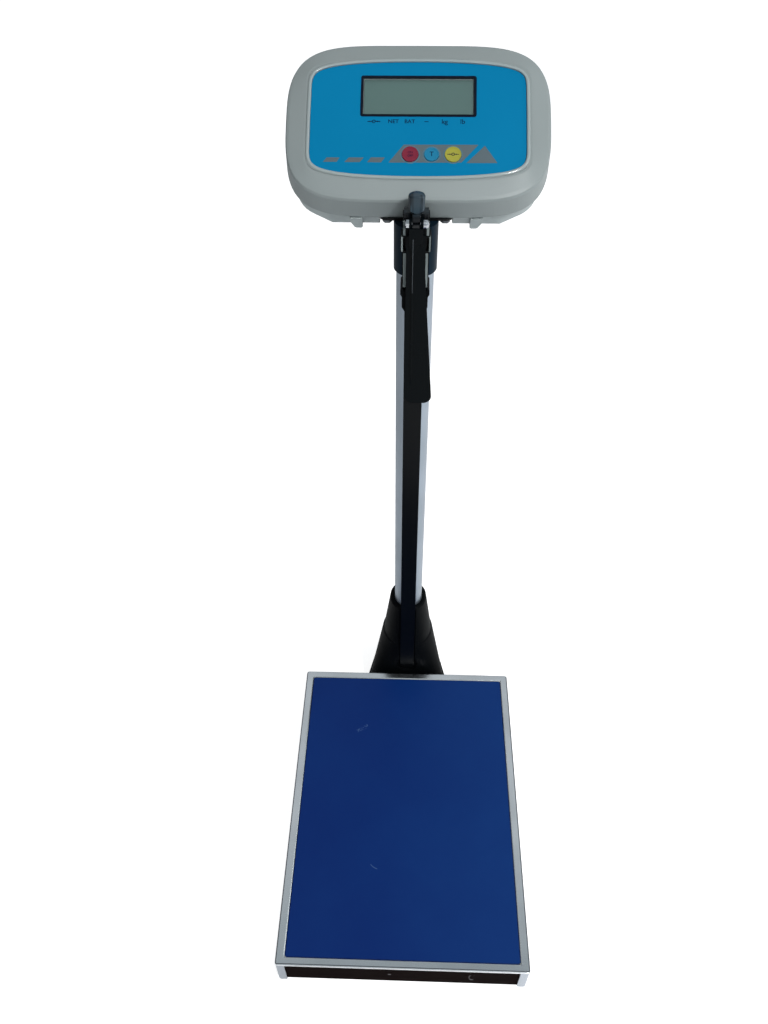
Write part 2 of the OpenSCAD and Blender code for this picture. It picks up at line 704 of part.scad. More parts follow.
// Steel flange that carries the head, welded to a stub inside the column
module head_bracket() color("#101214") difference() {
    union() {
        slab(flange_bottom, flange_top) translate([0, flange_front + flange_dp / 2])
            rounded_rect(flange_w, flange_dp, 6);
        slab(flange_bottom - stub_l, flange_bottom + eps) translate([0, column_y]) rounded_rect(stub_w, stub_dp, 3);
    }
    slab(flange_bottom - stub_l - 1, flange_top + 1) translate([0, column_y])
        rounded_rect(stub_w - 2 * stub_t, stub_dp - 2 * stub_t, 1.5);
    at_flange_bolts() pole(flange_bolt_d + screw_play, flange_bottom - 1, flange_top + 1);
}

module flange_bolts() color(steel) at_flange_bolts() translate([0, 0, flange_bottom])
    screw(flange_bolt_d, flange_t + flange_bolt_l, flange_bolt_d * 1.75, 3.6, 6);

// Channel in plan: closed back, two cheeks and two front lips round the rod
module guide_2d(w) {
    slot_w = rod_w + 2 * slide_gap;
    difference() {
        translate([-w / 2, guide_front]) square([w, column_front + 4 - guide_front]);
        translate([-slot_w / 2, rod_front - slide_gap]) square([slot_w, rod_dp + 2 * slide_gap]);
        translate([-guide_mouth / 2, guide_front - 1]) square([guide_mouth, 4]);
        translate([0, column_y]) oval(column_w + 0.1, column_dp + 0.1);
    }
}

module guide_screw_holes(list) for (i = list) {
    along(rod_back, column_front + 2) translate([0, guide_screw_z[i]])
        circle(d = guide_screw_d + screw_play, $fn = fine);
    along(rod_back, guide_screw_seat) translate([0, guide_screw_z[i]])
        circle(d = 2 * guide_screw_d + 0.4, $fn = fine);
}

module upper_guide() color("#8d9596") difference() {
    union() {
        slab(upper_guide_bottom, upper_guide_top) guide_2d(guide_w);
        // Raised band with chamfered ends on each cheek
        for (s = [0, 1]) mirror([s, 0, 0]) along(guide_front, rod_back)
            polygon([[guide_w / 2 - 1, band_z], [guide_w / 2, band_z],
                [guide_w / 2 + band_proud, band_z + band_proud],
                [guide_w / 2 + band_proud, band_z + band_h - band_proud], [guide_w / 2, band_z + band_h],
                [guide_w / 2 - 1, band_z + band_h]]);
    }
    // Window behind the band, which leaves a springy web
    box(guide_wall - guide_w / 2 - band_proud, guide_w / 2 + band_proud - guide_wall, guide_front - 1, rod_front + 4,
        band_z + 1.5, band_z + band_h - 1.5);
    // Lips end below the pivot's screw head
    box(-guide_w, guide_w, guide_front - 1, rod_front + 0.7, pivot_z - screw_head_r - 0.9, upper_guide_top + 1);
    guide_screw_holes([0, 1]);
}

// Shorter guide with a hooked lobe at each upper corner
module lower_guide() color(black) difference() {
    half = guide_w / 2;
    low = lower_guide_bottom;
    top = lower_guide_top;
    intersection() {
        slab(low, top) guide_2d(guide_w + 3.2);
        for (s = [0, 1]) mirror([s, 0, 0]) along(guide_front - 1, column_front + 5)
            polygon([[-eps, low], [half - 2.4, low], [half + 0.2, low + 4.4], [half + 0.2, top - 8], [half + 1.6, top - 5.6],
                [half + 1.6, top - 1.8], [half + 0.4, top], [half - 1, top], [half - 1.4, top - 1.4], [half - 2.4, top - 1.4],
                [half - 2.8, top], [-eps, top]]);
    }
    guide_screw_holes([2]);
}

module guide_screws() color(steel) for (z = guide_screw_z)
    translate([0, guide_screw_seat, z]) rotate([-90, 0, 0])
        screw(guide_screw_d, column_front + column_wall + screw_tip - guide_screw_seat, 2 * guide_screw_d, 1.4);

module rod_section(w, dp) translate([-w / 2, rod_y - dp / 2]) square([w, dp]);

// Outer rod of the height gauge
module outer_rod() color(black) slab(rod_tube_bottom, rod_top) difference() {
    rod_section(rod_w, rod_dp);
    rod_section(rod_w - 2 * rod_wall, rod_dp - 2 * rod_wall);
}

// Rounded plug in the outer rod's lower end
module rod_foot() color(black) {
    along(rod_front, rod_back) translate([0, rod_tube_bottom]) difference() {
        circle(r = rod_foot_r, $fn = fine);
        translate([-far / 2, 0]) square([far, far / 2]);
    }
    slab(rod_tube_bottom - eps, rod_tube_bottom + rod_foot_l)
        rod_section(rod_w - 2 * rod_wall - 2 * plug_fit, rod_dp - 2 * rod_wall - 2 * plug_fit);
}

// Inner rod, drawn out of the outer one
module inner_rod() color("#1c1f24") slab(inner_bottom, rod_top + 1) difference() {
    rod_section(inner_w, inner_dp);
    rod_section(inner_w - 2 * inner_wall, inner_dp - 2 * inner_wall);
}

// Sliding plug in the inner rod's lower end
module inner_rod_plug() color("#d8d8d2") {
    slab(inner_bottom - inner_plug_h, inner_bottom) rod_section(inner_w, inner_dp);
    slab(inner_bottom - eps, inner_bottom + 10) rod_section(core_w, core_dp);
}

// Head of the inner rod: plug, lug for the arm's pivot, and a round grip with a hollow for the thumb
module rod_head() color("#232a33") difference() {
    base_z = rod_top + 1;
    neck_z = rod_top + head_neck_h;
    grip_y = rod_y - inner_dp / 2 + 1.6;
    grip_z = neck_z + grip_h;
    union() {
        slab(base_z - 16, base_z + eps) rod_section(core_w, core_dp);
        slab(base_z, base_z + head_base_h) rod_section(inner_w, inner_dp);
        slab(base_z + head_base_h - eps, neck_z) rod_section(inner_w, inner_dp - 0.2);
        // Shoulders that stop the head on top of the guide
        slab(upper_guide_top + 1.3, neck_z) translate([-shoulder_w / 2, rod_y - inner_dp / 2 + 0.6])
            square([shoulder_w, inner_dp]);
        across(-lug_w / 2, lug_w / 2) {
            translate([pivot_y, pivot_z]) circle(r = lug_r, $fn = fine);
            translate([pivot_y, pivot_z - lug_r]) square([rod_y - pivot_y, neck_z - pivot_z + lug_r]);
        }
        translate([0, grip_y, 0]) rotate_extrude($fn = fine) polygon([[0, neck_z - 3], [grip_d / 2 - 2.4, neck_z - 0.4],
            [grip_d / 2, neck_z + 3], [grip_d / 2, grip_z - 2], [grip_d / 2 - 0.6, grip_z - 0.7],
            [grip_d / 2 - 2, grip_z], [0, grip_z + 0.6]]);
    }
    across(-lug_w, lug_w) translate([pivot_y, pivot_z]) circle(d = pivot_d + pivot_play, $fn = fine);
    across(-grip_d, grip_d) translate([grip_y - grip_d / 2 - 25.6, neck_z + grip_h * 0.55]) circle(r = 28, $fn = fine);
}

// Folding arm: fork round the lug, flared blade with a stiffening rib
module measuring_arm() color("#0c0e11") {
    left = -arm_top_w / 2;
    right = left + arm_end_w;
    difference() {
        union() {
            for (s = [0, 1]) mirror([s, 0, 0]) across(ear_x, fork_x) {
                translate([pivot_y, pivot_z]) circle(r = ear_r, $fn = fine);
                polygon([[pivot_y - ear_r, pivot_z], [arm_front, arm_top - 12], [arm_back, arm_top - 12],
                    [arm_back, arm_top - 1], [pivot_y + ear_r * 0.8, pivot_z - ear_r * 0.6]]);
            }
            along(arm_front, arm_back) {
                polygon([[left, arm_top - 3], [left + 3, arm_top], [-left - 3, arm_top], [-left, arm_top - 3],
                    [-left + 0.4, arm_top - 38], [right, arm_tip + arm_corner], [right - arm_corner, arm_tip],
                    [left + arm_corner, arm_tip], [left, arm_tip + arm_corner]]);
                translate([right - arm_corner, arm_tip + arm_corner]) circle(r = arm_corner, $fn = fine);
                translate([left + arm_corner, arm_tip + arm_corner]) circle(r = arm_corner, $fn = fine);
            }
            // Web between the ears, which tapers into a rib down the blade
            intersection() {
                across(-fork_x, fork_x) polygon([[pivot_y - ear_r - fork_web, pivot_z - 1], [arm_back, pivot_z - 1],
                    [arm_back, arm_top - 20], [arm_front - arm_rib, arm_top - 20], [arm_front - arm_rib, arm_top - 8]]);
                along(pivot_y - 2 * ear_r, arm_back) polygon([[-fork_x, pivot_z], [fork_x, pivot_z],
                    [fork_x, arm_top - 3], [rib_x + rib_t / 2, arm_top - 17], [rib_x + rib_t / 2, arm_top - 20],
                    [rib_x - rib_t / 2, arm_top - 20], [rib_x - rib_t / 2, arm_top - 17], [-fork_x, arm_top - 8]]);
            }
            across(rib_x - rib_t / 2, rib_x + rib_t / 2) polygon([[arm_front + 1, arm_top - 8],
                [arm_front - arm_rib, arm_top - 8], [arm_front - arm_rib / 2, arm_tip + 30], [arm_front + 1, arm_tip + 16]]);
        }
        across(-far / 2, far / 2) translate([pivot_y, pivot_z]) circle(d = pivot_d + pivot_play, $fn = fine);
        // Room for the lug between the ears
        across(-ear_x, ear_x) translate([pivot_y, pivot_z]) circle(r = ear_r + 0.8, $fn = fine);
    }
}

module pivot_screw() color(steel) translate([fork_x, pivot_y, pivot_z]) rotate([0, -90, 0]) {
    cylinder(d = pivot_d, h = 2 * fork_x + pivot_nut_h + 0.6, $fn = fine);
    mirror([0, 0, 1]) rotate_extrude($fn = fine) polygon([[0, 0], [screw_head_r, 0],
        [screw_head_r, screw_head_h - 2.6], [screw_head_r - 0.5, screw_head_h - 1.2],
        [screw_head_r - 1.7, screw_head_h - 0.3], [0, screw_head_h]]);
}

module pivot_nut() color(steel) translate([-fork_x, pivot_y, pivot_z]) rotate([0, -90, 0]) difference() {
    cylinder(r = screw_head_r, h = pivot_nut_h, $fn = 6);
    pole(pivot_d + pivot_play, -1, pivot_nut_h + 1);
}

// Outer form of the front shell: bezel, rounded crease and drafted flank
module front_form(inset, drop) hull() {
    slab(-1 - drop, 0.4 - drop) panel_2d(5 - inset);
    slab(-bezel_drop + 0.5 - drop, -bezel_drop + 0.6 - drop) case_2d(-3.4 - inset);
    slab(-bezel_drop - 0.6 - drop, -bezel_drop - 0.5 - drop) case_2d(-1 - inset);
    slab(-bezel_drop - 3, -bezel_drop - 2.9) case_2d(-inset);
    slab(-front_depth, -front_depth + 0.2) case_2d(draft - inset);
}

module front_shell() color(plastic_grey) on_face() difference() {
    union() {
        difference() {
            front_form(0, 0);
            difference() {
                translate([0, 0, -0.5]) front_form(case_wall, 2.4);
                slab(shelf_bottom, far) square([2 * far, 2 * far], center = true);
            }
            slab(-far, -front_depth + eps) square([2 * far, 2 * far], center = true);
        }
        slab(0.2, panel_lip_h) difference() {
            panel_2d(panel_lip_w);
            panel_2d(panel_play);
        }
        at_corners(case_screw_x, case_screw_v) pole(2 * boss_r, -front_depth + 2, shelf_bottom - 1);
        at_posts() pole(2 * post_r, board_front, shelf_bottom + eps);
    }
    slab(-panel_t, 5) panel_2d(panel_play);
    slab(shelf_bottom - 1, 1) translate([0, display_v]) square([window_w - 0.4, window_h - 0.4], center = true);
    for (k = keys) translate([k[0], key_v]) pole(k[1] + 2 * key_gap, shelf_bottom - 1, 1);
    at_corners(case_screw_x, case_screw_v)
        pole(case_screw_d + screw_play, -front_depth, -front_depth + case_thread + 2);
    at_posts() pole(board_screw_d + screw_play, board_front - 1, shelf_bottom);
}

// Outer form of the rear shell, with a straight lower edge that has sloping ends
module rear_form(inset, back_in) hull() {
    slab(-front_depth - 0.2, -front_depth) case_2d(-1 - inset);
    slab(-front_depth - 18, -front_depth - 17) case_2d(-4.4 - inset, 5.5, 4.5);
    slab(-front_depth - 18, -front_depth - 17) polygon([[inset - edge_top_w, 12 - edge_v],
        [inset - edge_low_w, inset - edge_v], [edge_low_w - inset, inset - edge_v], [edge_top_w - inset, 12 - edge_v]]);
    slab(case_back + 4 + back_in, case_back + 5 + back_in) case_2d(-9 - inset, 5.2, 4);
    slab(case_back + 1.2 + back_in, case_back + 1.4 + back_in) case_2d(-13 - inset);
    slab(case_back + back_in, case_back + 0.2 + back_in) case_2d(-17 - inset);
}

// Space in the lower edge of the rear shell for the column's top and the flange
module flange_notch(grow) box(-notch_w / 2 - grow, notch_w / 2 + grow,
    column_y - 60, flange_front + flange_dp + 40, flange_top - 80, flange_top + grow);

module rear_shell() color("#a3adab") difference() {
    union() {
        difference() {
            on_face() rear_form(0, 0);
            difference() {
                on_face() translate([0, 0, 0.1]) rear_form(case_wall, case_wall);
                flange_notch(case_wall);
            }
        }
        // Turned-in rim that centres the front shell
        on_face() slab(-front_depth - 2, -front_depth + 3) difference() {
            case_2d(-case_wall - 0.9);
            case_2d(-case_wall - 2.5);
        }
        on_face() at_corners(case_screw_x, case_screw_v) pole(2 * boss_r + 2, case_back + 6, -front_depth + 1.8);
        intersection() {
            at_flange_bolts() pole(flange_bolt_d + 5, flange_top, flange_top + flange_bolt_l + 2.5);
            on_face() rear_form(0.5, 0.5);
        }
        // Short feet at the lower edge
        on_face() for (s = [0, 1]) mirror([s, 0, 0]) along(foot_lug_v, -head_h / 2 + 8) translate([foot_lug_u, -front_depth])
            polygon([[-foot_lug_w / 2, -2.6], [foot_lug_w / 2, -2.6], [foot_lug_w / 2, -9.5], [foot_lug_w / 2 - 3.4, -18.2],
                [foot_lug_w / 2 - 5, -19], [1.4 - foot_lug_w / 2, -19], [-foot_lug_w / 2, -17.4]]);
    }
    flange_notch(0);
    at_flange_bolts() pole(flange_bolt_d + screw_play, flange_top - 1, flange_top + flange_bolt_l + 0.5);
    // Way through the floor and the rim for the cable
    translate([0, column_y, 0]) pole(3 * cable_d, flange_top - 1, flange_top + 12);
    on_face() at_corners(case_screw_x, case_screw_v) {
        pole(case_screw_d + screw_play, case_back - 10, -front_depth + 5);
        pole(2 * case_screw_d + 1, case_back - 10, case_screw_seat);
    }
    on_face() translate([inlet_u, inlet_v, 0]) pole(inlet_d + screw_play, case_back - 5, case_back + case_wall + 1);
}

module keypad_panel() color("#117ab0") on_face() difference() {
    slab(-panel_t, 0) panel_2d();
    slab(-panel_t - 1, 1) translate([0, display_v]) square([display_w + 0.2, display_h + 0.2], center = true);
    for (k = keys) translate([k[0], key_v]) pole(k[1] + 2 * key_gap, -panel_t - 1, 1);
}

// Black border of the display, let into the panel
module display_frame() color("#0b1116") on_face() translate([0, display_v]) slab(-panel_t, 0.1) difference() {
    square([display_w, display_h], center = true);
    square([window_w, window_h], center = true);
}

module display_lens() color("#9fb5b0", 0.5) on_face() translate([0, display_v]) slab(-panel_t, -0.3)
    square([window_w - 0.2, window_h - 0.2], center = true);

// Liquid crystal cell in its holder, on the circuit board
module display_module() color("#5f7a74") on_face() translate([0, display_v]) {
    slab(board_front, shelf_bottom - 0.2) rounded_rect(display_w + 6, display_h + 6, 2);
    slab(shelf_bottom - 0.5, -panel_t - 0.3) square([window_w - 1, window_h - 1], center = true);
}

// Key: cap, retaining rim under the front wall and a stem into its switch
module key(k) on_face() translate([k[0], key_v, 0]) {
    difference() {
        pole(k[1], shelf_bottom - eps, key_proud);
        pole(k[1] - 2.4, key_proud - 0.25, key_proud + 1);
    }
    pole(k[1] + 2 * key_rim, shelf_bottom - key_rim_t, shelf_bottom);
    pole(2 * key_stem_r, board_front + key_travel + 0.4, shelf_bottom - key_rim_t + eps);
}

module key_power() color("#c8324f") key(keys[0]);
module key_tare() color("#2f9fd0") key(keys[1]);
module key_zero() color("#e6d322") key(keys[2]);

// Switch housings on the board, each with a well for a key's stem
module key_switches() color("#2a2d31") on_face() for (k = keys) translate([k[0], key_v, 0]) difference() {
    slab(board_front, shelf_bottom - key_rim_t - key_travel - 0.3) square(switch_w, center = true);
    pole(2 * key_stem_r + 0.6, board_front + 0.3, 0);
}

module circuit_board() color("#1f6b3a") on_face() difference() {
    slab(board_back, board_front) translate([-board_w / 2, board_low]) square([board_w, board_high - board_low]);
    at_posts() pole(board_screw_d + screw_play, board_back - 1, board_front + 1);
}

module board_screws() color(steel) on_face() at_posts() translate([0, 0, board_back])
    screw(board_screw_d, board_t + 2.6, 2 * board_screw_d, 1.4);

module battery_pack() color("#3b4046") on_face() translate([0, battery_v])
    slab(battery_seat, battery_seat + battery_t) square([battery_w, battery_l], center = true);

// Round low-voltage inlet in the back of the case
module power_inlet() color(black) on_face() translate([inlet_u, inlet_v, 0]) difference() {
    union() {
        pole(inlet_d + 3, case_back - 1.2, case_back);
        pole(inlet_d, case_back - eps, case_back + 10);
    }
    slab(case_back - 2, case_back + 8) difference() {
        circle(d = 5.6, $fn = fine);
        circle(d = 1.9, $fn = fine);
    }
}

// Cable's plug on the back of the board
module cable_plug() color("#e8e6dc") on_face() translate([0, plug_v, 0])
    slab(board_back - plug_h, board_back) square([plug_w, plug_d], center = true);

module case_screws() color(steel) on_face() at_corners(case_screw_x, case_screw_v)
    translate([0, 0, case_screw_seat])
        screw(case_screw_d, -front_depth + case_thread - case_screw_seat, 2 * case_screw_d, 2);

base_frame();
foot_front_left();
foot_front_right();
foot_rear_left();
foot_rear_right();
foot_screws();
lower_spacer();
load_cell();
upper_spacer();
cell_bolts_lower();
cell_bolts_upper();
upper_carrier();
pan_pads();
platform_pan();
platform_mat();
column_boot();
boot_bolts();
column_tube();
column_screws();
signal_cable();
top_sleeve();
head_bracket();
flange_bolts();
upper_guide();
lower_guide();
guide_screws();
outer_rod();
rod_foot();
inner_rod();
inner_rod_plug();
rod_head();
measuring_arm();
pivot_screw();
pivot_nut();
front_shell();
rear_shell();
keypad_panel();
display_frame();
display_lens();
display_module();
key_power();
key_tare();
key_zero();
key_switches();
circuit_board();
board_screws();
battery_pack();
power_inlet();
cable_plug();
case_screws();
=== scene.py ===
# %% [markdown]
# # A platform scale with a column, a display and a height gauge
#
# The scale arrives as finished solids: pan, mat, column, rods, arm and display case.
# This lesson dresses them. Most pieces keep their own mesh and only get a finish made
# from shader nodes; what is printed or thin, such as the panel's legend, is made here.
# Everything is in metres, with the middle of the mat's top face at the origin.

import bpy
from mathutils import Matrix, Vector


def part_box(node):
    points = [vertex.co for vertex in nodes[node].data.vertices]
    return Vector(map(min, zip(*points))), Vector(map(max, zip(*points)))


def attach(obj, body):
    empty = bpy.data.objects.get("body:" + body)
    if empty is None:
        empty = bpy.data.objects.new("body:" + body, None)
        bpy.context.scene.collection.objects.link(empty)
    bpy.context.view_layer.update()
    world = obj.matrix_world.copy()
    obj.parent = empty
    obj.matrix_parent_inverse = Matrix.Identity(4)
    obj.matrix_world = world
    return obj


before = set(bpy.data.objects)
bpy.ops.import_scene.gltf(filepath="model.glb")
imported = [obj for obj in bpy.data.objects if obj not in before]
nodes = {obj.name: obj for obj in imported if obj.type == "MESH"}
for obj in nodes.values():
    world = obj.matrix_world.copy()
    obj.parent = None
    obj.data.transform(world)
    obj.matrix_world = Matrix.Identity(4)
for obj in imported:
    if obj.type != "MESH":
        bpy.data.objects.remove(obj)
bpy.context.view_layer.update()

# %% Modules and short names
import math
import bmesh
import bpy
from mathutils import Matrix, Vector
from mathutils.geometry import convex_hull_2d

scene = bpy.context.scene
MM = 0.001  # a millimetre in the scene's metres


# %% [markdown]
# ## Camera
#
# The picture was taken from in front of the platform, from about a metre above it,
# looking down 45 degrees. Four corners of the platform and their real distances give
# the camera's place and its lens, so the camera is set by numbers and not by eye.
# Yaw, pitch and roll are turned into three axes, which is easier to check than angles.

# %% Make the camera
yaw, pitch, roll = (math.radians(a) for a in (-2.23, 45.37, -0.55))
ahead = Vector((math.sin(yaw) * math.cos(pitch), math.cos(yaw) * math.cos(pitch), -math.sin(pitch)))
level = Vector((math.cos(yaw), -math.sin(yaw), 0))
upward = level.cross(ahead)
right = math.cos(roll) * level + math.sin(roll) * upward
up = -math.sin(roll) * level + math.cos(roll) * upward

picture_height, focal_length = 1024, 852.1  # in pixels
film = 36  # millimetres along the picture's longer side
camera = bpy.data.objects.new("camera", bpy.data.cameras.new("camera"))
scene.collection.objects.link(camera)
turn = Matrix((right, up, -ahead)).transposed().to_4x4()
eye = Vector((-3.2, -481.1, 995.6)) * MM
camera.matrix_world = Matrix.Translation(eye) @ turn
camera.data.sensor_width = film
camera.data.lens = focal_length / picture_height * film
camera.data.clip_start = 0.01
scene.camera = camera
print("camera", tuple(round(x, 3) for x in camera.location), "lens", round(camera.data.lens, 2))


# %% [markdown]
# ## Shader nodes as sums
#
# A finish is a small calculation on every point of a surface. Written node by node it
# is long and hard to read, so three small classes make it short. A Wire is one value
# between two nodes. Adding, multiplying or comparing wires adds the Math nodes, and a
# comparison gives 1 where it holds and 0 where it doesn't, which is a mask.

# %% Wire
class Wire:
    """One output of a node; sums on wires make Math nodes."""

    def __init__(self, graph, socket):
        self.graph, self.socket = graph, socket

    def math(self, operation, *values):
        return self.graph.add("ShaderNodeMath", {"operation": operation}, dict(enumerate(values)))

    def __add__(self, other): return self.math("ADD", self, other)
    def __radd__(self, other): return self.math("ADD", other, self)
    def __sub__(self, other): return self.math("SUBTRACT", self, other)
    def __rsub__(self, other): return self.math("SUBTRACT", other, self)
    def __mul__(self, other): return self.math("MULTIPLY", self, other)
    def __rmul__(self, other): return self.math("MULTIPLY", other, self)
    def __pow__(self, other): return self.math("POWER", self, other)
    def __gt__(self, other): return self.math("GREATER_THAN", self, other)
    def __lt__(self, other): return self.math("LESS_THAN", self, other)
    def __abs__(self): return self.math("ABSOLUTE", self)

    def step(self, low, high):
        """0 below low, 1 above high and a smooth rise between them."""
        return self.graph.add("ShaderNodeMapRange", {"interpolation_type": "SMOOTHSTEP"},
                               {"Value": self, "From Min": low, "From Max": high})


print("wire ready")

# %% [markdown]
# A Graph is one tree of nodes. Its add method makes any node that isn't a sum: the
# settings are set first, because they can change which sockets a node has, and then
# the values or wires go into the sockets.

# %% Graph
class Graph:
    """A tree of shader nodes."""

    def __init__(self, tree):
        self.tree = tree

    def plug(self, socket, value):
        if isinstance(value, Wire):
            self.tree.links.new(value.socket, socket)
        else:
            socket.default_value = value

    def add(self, kind, settings=None, sockets=None, out=0):
        made = self.tree.nodes.new(kind)
        for key, value in (settings or {}).items():
            setattr(made, key, value)
        for key, value in (sockets or {}).items():
            self.plug(made.inputs[key], value)
        return Wire(self, made.outputs[out])

    def mix(self, factor, a, b):
        """Goes from colour a to colour b."""
        return self.add("ShaderNodeMix", {"data_type": "RGBA"}, {0: factor, 6: a, 7: b}, out=2)

    def ray(self, kind):
        """1 for one kind of ray of light, such as Camera or Glossy."""
        return self.add("ShaderNodeLightPath", out=f"Is {kind} Ray")


print("graph ready")

# %% [markdown]
# A Finish is the graph of a material and knows its Principled shader. Its methods give
# what most finishes need: a place on the piece in millimetres, a noise, a second tone of
# its own colour, and a relief. Real edges are never sharp, so the relief starts from
# a normal that is rounded over the edges, which is cheaper than rounding the mesh.

# %% Finish
class Finish(Graph):
    """A material with its Principled shader."""

    def __init__(self, name, colour, roughness=0.5, metallic=0.0, **more):
        self.material = bpy.data.materials.new(name)
        self.material.use_nodes = True
        super().__init__(self.material.node_tree)
        self.shader = self.tree.nodes["Principled BSDF"]
        self.colour = (*colour[:3], 1)
        self.set(Base_Color=self.colour, Roughness=roughness, Metallic=metallic, **more)
        self.material.diffuse_color = self.colour

    def set(self, **sockets):
        for key, value in sockets.items():
            self.plug(self.shader.inputs[key.replace("_", " ")], value)

    def place(self, scale=(1, 1, 1)):
        """The point on the object, stretched by scale."""
        spot = self.add("ShaderNodeTexCoord", out="Object")
        return self.add("ShaderNodeMapping", sockets={"Vector": spot, "Scale": scale})

    def along(self, axis):
        """One coordinate of the point, in millimetres."""
        spot = self.add("ShaderNodeTexCoord", out="Object")
        return self.add("ShaderNodeSeparateXYZ", sockets={0: spot}, out="XYZ".index(axis)) * 1000

    def noise(self, scale, detail=3.0, stretch=(1, 1, 1), rough=0.5):
        return self.add("ShaderNodeTexNoise", sockets={
            "Vector": self.place(stretch), "Scale": scale, "Detail": detail, "Roughness": rough})

    def tint(self, factor, gain):
        """The finish's own colour, made lighter or darker by gain where factor is 1."""
        other = tuple(min(1, c * gain) for c in self.colour[:3]) + (1,)
        return self.mix(factor, self.colour, other)

    def rounded(self, radius):
        """A normal that rolls over sharp edges, as a moulded or pressed edge does."""
        return self.add("ShaderNodeBevel", {"samples": 4}, {"Radius": radius * MM})

    def bump(self, height, depth, radius=0.4):
        """Relief of a height from 0 to 1, depth in millimetres, over rounded edges."""
        return self.add("ShaderNodeBump", sockets={
            "Height": height, "Distance": depth * MM, "Strength": 1.0, "Normal": self.rounded(radius)})


def srgb(r, g, b):
    """A colour as a picture editor gives it, 0 to 255, turned into light."""
    return tuple(((c / 255 + 0.055) / 1.055) ** 2.4 if c > 10 else c / 255 / 12.92 for c in (r, g, b))


print("finish ready")


# %% [markdown]
# ## Light
#
# In the photo the grip throws a shadow on the case, to the left and downwards. From the
# two ends of that shadow follows where the main lamp stands: in front, a little to the
# right, 45 degrees up. A weak lamp on each side keeps the flanks readable.

# %% Lamps
scene.view_settings.view_transform = "Standard"


def soft_box(name, place, target, size, power):
    """A round lamp at a place that shines on a target; size in metres, power in watts."""
    lamp = bpy.data.lights.new(name, "AREA")
    lamp.shape, lamp.size, lamp.energy = "DISK", size, power
    box = bpy.data.objects.new(name, lamp)
    scene.collection.objects.link(box)
    box.location = place
    box.rotation_euler = (Vector(target) - Vector(place)).to_track_quat("-Z", "Y").to_euler()


soft_box("key_light", (1.15, -1.75, 2.65), (0, 0.15, 0.45), 0.4, 62)
soft_box("side_light", (2.3, 0.5, 1.2), (0, 0.2, 0.3), 1.5, 12)
soft_box("fill_light", (-2.2, -1.2, 1.8), (0, 0.1, 0.2), 1.6, 6)

# %% [markdown]
# Steel and anodised metal have hardly a colour of their own: they show the room. A room
# with real walls would do, but two gradients of the world are enough. It is pale on the
# right and grey on the left. Its ceiling is pale, with a bright ring and a darker middle,
# which the rim of the pan mirrors: bright at the sides, dull at the front. The camera sees
# white paper instead, and metal and glass mirror the room brighter than it shines.

# %% Room
world = bpy.data.worlds.new("studio")
scene.world = world
world.use_nodes = True
room = Graph(world.node_tree)
backdrop = world.node_tree.nodes["Background"]
sideways, upwards = (room.add("ShaderNodeSeparateXYZ", out="XYZ".index(axis), sockets={
    0: room.add("ShaderNodeTexCoord", out="Generated")}) for axis in "XZ")
walls = room.mix(sideways.step(-0.8, 0.8), (0.12, 0.13, 0.14, 1), (0.82, 0.93, 1.0, 1))
ceiling = room.mix(upwards.step(0.25, 0.82), walls, (0.78, 0.82, 0.86, 1))
bright_ring = room.mix(upwards.step(0.82, 0.89), ceiling, (1.0, 1.04, 1.08, 1))
lining = room.mix(upwards.step(0.905, 0.95), bright_ring, (0.44, 0.50, 0.53, 1))
room_light, seen_white, mirrored_more = 0.36, 0.64, 0.42
in_mirrors = room.ray("Glossy") + room.ray("Transmission")
room.plug(backdrop.inputs["Color"], room.mix(room.ray("Camera"), lining, (1, 1, 1, 1)))
room.plug(backdrop.inputs["Strength"],
          room_light + room.ray("Camera") * seen_white + in_mirrors * mirrored_more)
print("room:", len(world.node_tree.nodes), "nodes")


# %% [markdown]
# ## Floor
#
# The scale stands on white paper. A plane takes the soft shadow. Paper lit by these
# lamps alone would look grey, so the camera sees a glow of its own on it, and metal and
# glass mirror a weaker one, dimmer on the left: that shades the round column. Seen from
# below the paper is clear, so that the feet and the frame under the platform can be
# looked at.

# %% Paper floor
floor_z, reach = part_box("foot_front_left")[0].z, 30  # metres
sheet = bpy.data.meshes.new("paper_floor")
sheet.from_pydata([(x * reach, y * reach, floor_z) for x, y in ((-1, -1), (1, -1), (1, 1), (-1, 1))],
                  [], [(0, 1, 2, 3)])
floor = bpy.data.objects.new("paper_floor", sheet)
scene.collection.objects.link(floor)

paper = Finish("white_paper", (0.8, 0.8, 0.8), 0.95, Specular_IOR_Level=0.0)
glow = 0.04 + paper.along("X").step(-220, 300) * 0.4
mirrored = (paper.ray("Glossy") + paper.ray("Transmission")) * glow
paper.set(Base_Color=paper.mix(paper.ray("Camera"), (0.92, 0.92, 0.92, 1), paper.colour),
          Emission_Color=paper.mix(paper.ray("Camera") + mirrored, (0, 0, 0, 1), (1, 1, 1, 1)),
          Emission_Strength=0.82)
below = paper.add("ShaderNodeMixShader", sockets={
    0: paper.add("ShaderNodeNewGeometry", out="Backfacing"), 1: Wire(paper, paper.shader.outputs[0]),
    2: paper.add("ShaderNodeBsdfTransparent")})
paper.plug(paper.tree.nodes["Material Output"].inputs["Surface"], below)
floor.data.materials.append(paper.material)
print("floor at", round(floor_z * 1000, 1), "mm")


# %% [markdown]
# ## Brushed and plated steel
#
# The pan is stainless sheet with a satin brush along its length. Under a lens that is
# thousands of parallel scratches, so the noise is stretched forty times along the
# brush: it changes the roughness a little and makes a very shallow relief.
# Bolts are zinc plated and duller; the pivot's screw and nut are bright.

